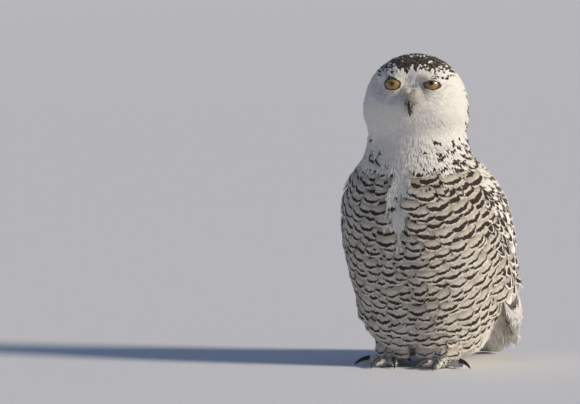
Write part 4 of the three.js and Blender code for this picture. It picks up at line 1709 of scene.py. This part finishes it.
class OWL_OT_head_coat(bpy.types.Operator):
    """The face, the crown and the back of the head, and the bristles round the bill."""
    bl_idname = "owl.head_coat"
    bl_label = "Head feathers"

    def execute(self, context):
        coat = settings("owl_coat")
        rng = draws_for(2)
        surface = skin_surface()
        local = in_head(surface.centres) / MM
        head = surface.parts == HEAD
        opening = np.full(len(head), 9.0)
        for side in SIDES:
            out, up, distance = EyeSocket(side).plane(surface.centres)
            near = distance < 1.5 * EYE_RADIUS
            opening = np.where(near, np.minimum(opening, EyeSocket(side).ratio(out, up)), opening)
        head &= opening > 1.2
        crown_line = 16 - 14 * ease(np.abs(local[:, 0]), 20, 62)
        behind = (local[:, 1] > -14) | (local[:, 2] > crown_line)
        self.face(surface, head & ~behind, coat, rng)
        self.crown(surface, head & behind, rng)
        self.bristles(surface, rng)
        return {"FINISHED"}

    def face(self, surface, keep, coat, rng):
        """Short fine tufts over the face, shortest by the lids and the bill."""
        space = (coat.face_space, coat.face_space * 0.85)
        plumes = Plumes("face", round_pole((0, -1, 0), 120), SOFT)
        roots, ways = grow(surface, keep, space, head_lie, rng)
        count = len(roots)
        close = np.ones(count)
        for side in SIDES:
            out, up, distance = EyeSocket(side).plane(roots)
            ratio = EyeSocket(side).ratio(out, up)
            short = 0.3 + 0.7 * ease(ratio, 1.1, 2.6)
            close = np.minimum(close, np.where(distance < 1.6 * EYE_RADIUS, short, 1))
        local = in_head(roots) / MM
        bill = np.linalg.norm(local - np.array((0, -70, -20)), axis=1)
        close = np.minimum(close, 0.55 + 0.45 * ease(bill, 8, 26))
        low = ease(local[:, 2], -30, -70)
        lengths = coat.face_length * close * (0.8 + 0.4 * rng.random(count)) * (1 + 0.7 * low)
        ways = ways + rng.normal(0, 0.04, (count, 3))
        lift = (0.4 * MM, 1.9 * MM * close * (0.94 + 0.12 * rng.random(count)))
        lay = Lay(surface, roots, ways, lengths, LOCK_SPANS, lift, rng, 0.05)
        widths = 1.25 * MM * (0.45 + 0.55 * close) * (1 + 0.2 * low)
        # Only the brow patches mark the face: a brown mark over the left eye, painted shade over the right.
        amount = brow_mark_and_shade(roots) * 1.2
        add_tufts(plumes, lay, roots, widths, amount, rng, LOCK_WIDTHS, blades=3, fan=0.1, thick=0.1,
                  wave=0.02)
        plumes.build(plumage("face_feather", 0.0, **BROW_MARK_AND_SHADE))

    def crown(self, surface, keep, rng):
        """Small rounded feathers over the crown and the back of the head."""
        plumes = Plumes("crown", round_pole((0, 1, 0.8), 135), SOFT)
        roots, ways = grow(surface, keep, (3.1 * MM, 2.7 * MM), head_lie, rng)
        count = len(roots)
        lengths = 10 * MM * (0.85 + 0.3 * rng.random(count))
        ways = ways + rng.normal(0, 0.12, (count, 3))
        lift = (0.3 * MM, 2.5 * MM * (0.8 + 0.4 * rng.random(count)))
        lay = Lay(surface, roots, ways, lengths, SCALE_SPANS, lift, rng, 0.12)
        amount = crown_amount(lay.middle[:, -1], rng.random(count))
        widths = 2.5 * MM * (1 + rng.normal(0, 0.1, count))
        add_vanes(plumes, lay, roots, widths, amount, rng, CROWN_PATCH, thick=0.16, camber=0.08,
                  outline=SCALE_WIDTHS, barbs=4, barb_length=1.5, down=0.1)
        plumes.build(plumage("crown_feather", 0.0, **CAPPED))

    def bristles(self, surface, rng):
        """Long fine bristles from the lores over the root of the bill."""
        plumes = Plumes("bristles", round_pole((0, -1, 0), 60))
        count = BRISTLES
        side = np.where(np.arange(count) % 2 == 0, 1.0, -1.0)
        level = rng.random(count)
        x = side * (0.6 + 8.5 * rng.random(count) + 2.0 * level)
        z = 4 - 25 * level + rng.normal(0, 1.5, count)
        roots, normals, _ = surface.nearest(from_head(np.stack((x, 0 * x - 74, z), axis=1) * MM))
        local = in_head(roots)
        target = np.stack((side * 9 * (rng.random(count) - 0.15), 0 * x - 82, z - 16), axis=1) * MM
        ways = unit(target - local) @ HEAD_AXES.T
        lengths = (11 + 8 * rng.random(count)) * MM
        spans = np.array(TUFT_SPANS)
        middle = roots[:, None] + ways[:, None] * (lengths[:, None] * spans[None])[..., None]
        bow = 2.2 * MM * np.sin(spans * math.pi) + 0.3 * MM
        middle = middle + normals[:, None] * bow[None, :, None]
        lay = Lay.through(middle, normals[:, None], lengths, spans)
        amount = 0.03 + 0.6 * level ** 2.2
        add_tufts(plumes, lay, roots, np.full(count, 0.42 * MM), amount, rng, TUFT_WIDTHS,
                  blades=2, fan=0.12, thick=0.6, down=1.0)
        plumes.build(plumage("bristle", 0.55, **PLAIN))


REMIGES = {"First": 16, "Spacing": 24, "Bars": 7, "Thickness": 6.5, "Reach": 8.5, "Arch": 0.02, "Fray": 3}
RECTRICES = {"First": 20, "Spacing": 34, "Bars": 4, "Thickness": 4.5, "Reach": 9, "Arch": 0.02, "Fray": 3.5}
COVERT_WIDTHS = (0.35, 0.8, 1, 0.9, 0.66, 0.38, 0.12)
QUILL_SPANS = (0, 0.2, 0.4, 0.6, 0.78, 0.9, 0.97, 1)
QUILL_WIDTHS = (0.45, 0.8, 0.95, 1, 0.92, 0.7, 0.4, 0.12)
FLIGHT_RISE = 0.78              # slope of the line where the flight feathers come out
FLIGHT_FOOT = 129.5             # its height over y = 0, in millimetres
FLIGHT_FEATHERS = 15            # on each wing
TAIL_FEATHERS = 12
QUILL_STRIP = (0.9, 0.94)       # how much of its strip on the unwrap a long feather takes
COVERT_SHARE = 120000           # places tried for each square metre of wing
BACK_SHARE = 60000              # places tried for each square metre of back
STRAY = 6.2 * MM                # a covert whose tip stands farther off the wing is left out


def flight_height(points):
    """Height over the line where the flight feathers come out of the wing, in millimetres."""
    return points[:, 2] / MM - FLIGHT_FOOT - FLIGHT_RISE * points[:, 1] / MM


class OWL_OT_wings(bpy.types.Operator):
    """Spotted coverts on both folded wings, small at the shoulder and long by the flight feathers."""
    bl_idname = "owl.wings"
    bl_label = "Wing coverts"

    def execute(self, context):
        rng = draws_for(3)
        guide = guide_surface(["flight_left", "flight_right"])
        skin = skin_surface()
        for side, hand in SIDES.items():
            keep = (skin.parts == FLESH.index("wing_" + side)) & (skin.centres[:, 0] * hand > 0)
            spots, normals = scattered(skin, keep, COVERT_SHARE, rng)
            reach = 1 - np.clip(flight_height(spots) / 235, 0, 1)
            size = (0.38 + 0.62 * ease(reach, 0.0, 1.0)) * (0.85 + 0.3 * rng.random(len(spots)))
            lengths = 46 * MM * size
            widths = 11 * MM * size
            ways = flat_on(wing_lie(spots), normals)
            kept = apart(spots, ways, normals, lengths * 0.37, widths * 1.4)
            first, last = (66, 190) if hand > 0 else (-190, -66)
            plumes = Plumes("coverts_" + side, round_body(first, last, 60, 330))
            roots, lengths, widths = spots[kept], lengths[kept], widths[kept]
            count = len(roots)
            ways = ways[kept] + rng.normal(0, 0.09, (count, 3))
            lift = (0.4 * MM, 5.0 * MM * (1 + rng.normal(0, 0.14, count)))
            lay = Lay(guide, roots, ways, lengths, VANE_SPANS, lift, rng, 0.07)
            tips = lay.middle[:, -1]
            amount = wing_amount(tips, rng.random(count))
            near = np.linalg.norm(tips - guide.nearest(tips)[0], axis=1) < STRAY
            lay.cut(near)
            roots, lengths, widths, amount = roots[near], lengths[near], widths[near], amount[near]
            patch = np.stack((widths * 1.5 / (220 * MM), lengths * 0.36 / (270 * MM)), axis=1)
            add_vanes(plumes, lay, roots, widths, amount, rng, patch, thick=0.22, camber=0.06,
                      outline=COVERT_WIDTHS, barbs=14, barb_length=3.6)
            plumes.build(plumage("covert", 0.1, **SPOTTED))
        return {"FINISHED"}


def straight(surface, roots, tips, spans, lift, outward):
    """Long feathers drawn straight from root to tip just over a surface."""
    line = roots[:, None] + (tips - roots)[:, None] * np.reshape(spans, (1, -1, 1))
    flat = line.reshape(-1, 3)
    seen, normals, _ = surface.nearest(flat + np.repeat(outward, len(spans), axis=0) * 12 * MM)
    normals = normals.reshape(line.shape)
    normals = unit(normals.mean(axis=1, keepdims=True) + 0.8 * normals)
    middle = seen.reshape(line.shape) + normals * np.reshape(lift, (-1, 1, 1))
    return Lay.through(middle, normals, np.linalg.norm(tips - roots, axis=1), spans)


def strips(count):
    """Unwrap for a fan of long feathers: each has its own upright strip."""
    def unwrap(roots):
        u = (np.arange(len(roots)) + 0.5) / count
        return np.stack((u, np.full(len(roots), 0.5)), axis=1)
    return unwrap


def quill_patch(count):
    """Size of one long feather on such an unwrap."""
    return QUILL_STRIP[0] / count, QUILL_STRIP[1]


class OWL_OT_flights(bpy.types.Operator):
    """Long barred flight feathers of the folded wings, stacked towards the wing's tip."""
    bl_idname = "owl.flights"
    bl_label = "Flight feathers"

    def execute(self, context):
        rng = draws_for(4)
        for side, hand in SIDES.items():
            node = "flight_" + side
            surface = surface_of(loose_copy([node], "guide"))
            count = FLIGHT_FEATHERS
            t = np.linspace(0, 1, count)
            y = (-42 + 196 * t) * MM
            z = (FLIGHT_FOOT + 14) * MM + FLIGHT_RISE * y
            roots = surface.nearest(np.stack((np.full(count, 0.2 * hand), y, z), axis=1))[0]
            point = np.array((14 * hand * MM, 176 * MM, 29 * MM))
            share = np.interp(t, (0, 0.35, 1), (0.94, 1.0, 0.62))
            tips = roots + (point - roots) * share[:, None]
            tips += np.array((0, 0, -1)) * (8 * MM * (1 - t))[:, None]
            outward = unit(np.stack((np.full(count, 0.7 * hand), np.full(count, 0.5), 0 * t), axis=1))
            lift = (-4.6 + 4.4 * t) * MM
            lay = straight(surface, roots, tips, QUILL_SPANS, lift, outward)
            plumes = Plumes("remiges_" + side, strips(count))
            widths = np.interp(t, (0, 0.5, 1), (9, 13, 13)) * MM
            amount = 0.8 + 0.3 * rng.random(count)
            add_vanes(plumes, lay, roots, widths, amount, rng, quill_patch(count), thick=0.4, camber=0.08,
                      outline=QUILL_WIDTHS, barbs=26, barb_length=3.0, uneven=0.02, down=0.3)
            plumes.build(plumage("remex", 0.0, **REMIGES), [node])
        return {"FINISHED"}


class OWL_OT_tail(bpy.types.Operator):
    """Twelve tail feathers, fanned from the rump to the floor, the middle pair on top."""
    bl_idname = "owl.tail"
    bl_label = "Tail"

    def execute(self, context):
        rng = draws_for(5)
        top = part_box("tail")[1].z
        count = TAIL_FEATHERS
        place = np.linspace(-1, 1, count)
        down = unit(np.array((0, 153.0, -180.0)))
        over = np.array((0, -down[2], down[1]))
        start = np.array((0, 33, 176)) * MM
        reach = (top + 44 * MM) / -down[2] * (1 - 0.10 * place ** 2)
        reach = np.minimum(reach, (start[2] - 4 * MM) / -down[2])
        roots = start + place[:, None] * np.array((30, 0, 0)) * MM
        tips = start + place[:, None] * np.array((56, 0, 0)) * MM + down * reach[:, None]
        spans = np.array(QUILL_SPANS)
        lift = (3.2 - 6.0 * np.abs(place)) * MM
        middle = roots[:, None] + (tips - roots)[:, None] * spans[None, :, None]
        middle = middle + over * lift[:, None, None]
        tilt = unit(over + place[:, None] * np.array((0.18, 0, 0)))
        lay = Lay.through(middle, tilt[:, None], np.linalg.norm(tips - roots, axis=1), spans)
        plumes = Plumes("rectrices", strips(count))
        widths = np.full(count, 14.5 * MM)
        amount = 0.55 + 0.3 * rng.random(count)
        add_vanes(plumes, lay, roots, widths, amount, rng, quill_patch(count), thick=0.5, camber=0.06,
                  outline=QUILL_WIDTHS, barbs=30, barb_length=2.5, uneven=0.02, down=0.2)
        plumes.build(plumage("rectrix", 0.1, **RECTRICES), ["tail"])
        return {"FINISHED"}


class OWL_OT_back(bpy.types.Operator):
    """Spotted feathers down the back and over the tail's root."""
    bl_idname = "owl.back"
    bl_label = "Back and rump"

    def execute(self, context):
        rng = draws_for(6)
        guide = guide_surface(["tail"])
        skin = skin_surface()
        turned = degrees_round(skin.centres)
        keep = (skin.parts == TRUNK) & (turned > 96) & (skin.centres[:, 2] > 100 * MM)
        spots, normals = scattered(skin, keep, BACK_SHARE, rng)
        size = 0.75 + 0.25 * ease(spots[:, 2], 330 * MM, 220 * MM)
        ways = flat_on(body_lie(spots) + np.array((0, 0.25, 0)), normals)
        lengths, widths = 42 * MM * size, 11.5 * MM * size
        kept = apart(spots, ways, normals, lengths * 0.33, widths * 1.45)
        roots, lengths, widths = spots[kept], lengths[kept], widths[kept]
        plumes = Plumes("back", round_body(94, 266, 10, 330))
        count = len(roots)
        ways = ways[kept] + rng.normal(0, 0.09, (count, 3))
        lift = (0.5 * MM, 5.0 * MM * (1 + rng.normal(0, 0.14, count)))
        lay = Lay(guide, roots, ways, lengths, VANE_SPANS, lift, rng, 0.07)
        amount = back_amount(lay.middle[:, -1], rng.random(count))
        add_vanes(plumes, lay, roots, widths, amount, rng, BACK_PATCH, thick=0.26, camber=0.07)
        plumes.build(plumage("back_feather", 0.15, **MANTLE))
        return {"FINISHED"}


class OWL_OT_vent(bpy.types.Operator):
    """Long loose white feathers round the vent and under the tail."""
    bl_idname = "owl.vent"
    bl_label = "Vent and undertail"

    def execute(self, context):
        rng = draws_for(8)
        quills = ["tail", "flight_left", "flight_right"]
        guide = guide_surface(quills)
        x, y, z = (guide.centres / MM).T
        turned = degrees_round(guide.centres)
        guide.parts = owners(guide.centres, FLESH + quills)
        low_flank = (guide.parts == TRUNK) & (turned > 92) & (z < 108) & (z > 16)
        under_tail = (guide.parts == len(FLESH)) & (guide.normals[:, 2] < -0.2) & (y < 150)
        tail_side = (guide.parts == len(FLESH)) & (np.abs(x) > 36) & (y < 150)
        wing_edge = (guide.parts > len(FLESH)) & (z < 104 - 0.25 * y) & (guide.normals[:, 0] * x > 0)
        keep = low_flank | under_tail | tail_side | wing_edge & (y > 0) & (y < 95)
        plumes = Plumes("vent", round_body(70, 290, 0, 185), SOFT)
        roots, ways = grow(guide, keep, (5.2 * MM, 3.8 * MM), self.lie, rng)
        count = len(roots)
        lengths = 36 * MM * (0.75 + 0.4 * rng.random(count))
        lengths *= 0.6 + 0.4 * ease(roots[:, 2], 15 * MM, 50 * MM)
        lengths *= 1 - 0.3 * ease(np.abs(roots[:, 0]), 40 * MM, 70 * MM)
        ways = ways + rng.normal(0, 0.06, (count, 3))
        lift = (0.4 * MM, 4.2 * MM * (0.8 + 0.4 * rng.random(count)))
        lay = Lay(guide, roots, ways, lengths, TUFT_SPANS, lift, rng, 0.12)
        lay.middle[..., 2] = np.maximum(lay.middle[..., 2], 2.5 * MM)
        add_tufts(plumes, lay, roots, np.full(count, 1.8 * MM), np.zeros(count), rng, TUFT_WIDTHS, blades=3,
                  fan=0.13, thick=0.1, wave=0.03, down=0.1)
        plumes.build(plumage("vent_feather", 0.05, **PLAIN))
        return {"FINISHED"}

    def lie(self, points):
        """Down and back, towards the tail's tip."""
        return unit(np.array((0, 0.75, -1.0)) + points * np.array((2.5, 0, 0)))


class OWL_OT_legs(bpy.types.Operator):
    """Short thick tufts on legs and toes, longer ones under the belly."""
    bl_idname = "owl.legs"
    bl_label = "Legs and feet"

    def execute(self, context):
        rng = draws_for(7)
        skin = skin_surface()
        low = (skin.parts == TRUNK) & (skin.normals[:, 2] < -0.25) & (skin.centres[:, 2] < 75 * MM)
        keep = np.isin(skin.parts, LEGS) | low
        plumes = Plumes("legs", round_foot, SOFT)
        roots, ways = grow(skin, keep, (2.9 * MM, 2.4 * MM), self.lie, rng)
        belly = skin.parts[skin.nearest(roots)[2]] == TRUNK
        self.tufts(plumes, skin, roots, ways, np.where(belly, 17, 11), (0.2, 3.5), 1.3, rng)
        feet = surface_of(loose_copy(["foot_left", "foot_right"], "guide"))
        keep = feet.centres[:, 2] > 1.5 * MM
        roots, ways = grow(feet, keep, (2.7 * MM, 2.2 * MM), self.lie, rng)
        self.tufts(plumes, feet, roots, ways, np.full(len(roots), 8.5), (-1.6, 1.0), 0.95, rng)
        plumes.build(plumage("leg_feather", 0.1, **PLAIN))
        return {"FINISHED"}

    def tufts(self, plumes, surface, roots, ways, lengths, lift, width, rng):
        """One stretch of tufts; lengths, lift and width in millimetres."""
        count = len(roots)
        lengths = lengths * MM * (0.75 + 0.5 * rng.random(count))
        ways = ways + rng.normal(0, 0.14, (count, 3))
        lay = Lay(surface, roots, ways, lengths, LOCK_SPANS, (lift[0] * MM, lift[1] * MM), rng, 0.15)
        lay.middle[..., 2] = np.maximum(lay.middle[..., 2], 2.0 * MM)
        add_tufts(plumes, lay, roots, np.full(count, width * MM), np.zeros(count), rng, LOCK_WIDTHS,
                  blades=2, fan=0.15, thick=0.2, down=0.15)

    def lie(self, points):
        """Along the toes, down the legs and back under the belly."""
        side = np.where(points[:, 0] > 0, 1, 0)
        sole = np.stack([SOLES["right"], SOLES["left"]])[side]
        arm = points - sole
        arm[:, 2] = 0
        far = ease(np.linalg.norm(arm, axis=1), 10 * MM, 24 * MM)[:, None]
        return unit(arm) * far - UP * (1.05 - 0.9 * far)


def round_foot(points):
    """Unwrap of both feet and the underside, spread flat round the body's middle."""
    return np.stack((0.5 + points[:, 0] / (235 * MM), 0.36 + (points[:, 1] + 0.03) / (400 * MM)), axis=1)


# --------------------------------------------------------------- the add-on

STEPS = [
    OWL_OT_skin, OWL_OT_eyes, OWL_OT_bill, OWL_OT_claws, OWL_OT_breast, OWL_OT_bib,
    OWL_OT_head_coat, OWL_OT_wings, OWL_OT_flights, OWL_OT_tail, OWL_OT_back, OWL_OT_vent, OWL_OT_legs,
    OWL_OT_stage,
]


class OWL_PT_panel(bpy.types.Panel):
    """Lists the steps that dress the owl."""
    bl_label = "Snowy Owl"
    bl_idname = "OWL_PT_panel"
    bl_space_type = "VIEW_3D"
    bl_region_type = "UI"
    bl_category = "Owl"

    def draw(self, context):
        for name, kind in SETTINGS.items():
            box = self.layout.box()
            box.label(text=kind.__doc__)
            for prop in kind.__annotations__:
                box.prop(getattr(context.scene, name), prop)
        for step in STEPS:
            self.layout.operator(step.bl_idname)


def register():
    for kind in list(SETTINGS.values()) + STEPS + [OWL_PT_panel]:
        bpy.utils.register_class(kind)
    for name, kind in SETTINGS.items():
        setattr(bpy.types.Scene, name, PointerProperty(type=kind))


def unregister():
    for name in SETTINGS:
        delattr(bpy.types.Scene, name)
    for kind in reversed(list(SETTINGS.values()) + STEPS + [OWL_PT_panel]):
        bpy.utils.unregister_class(kind)


def main():
    register()
    make_feather_marks()
    make_barb_grain()
    for step in STEPS:
        group_name, name = step.bl_idname.split(".")
        getattr(getattr(bpy.ops, group_name), name)()
    deselect()


if __name__ == "__main__":
    main()
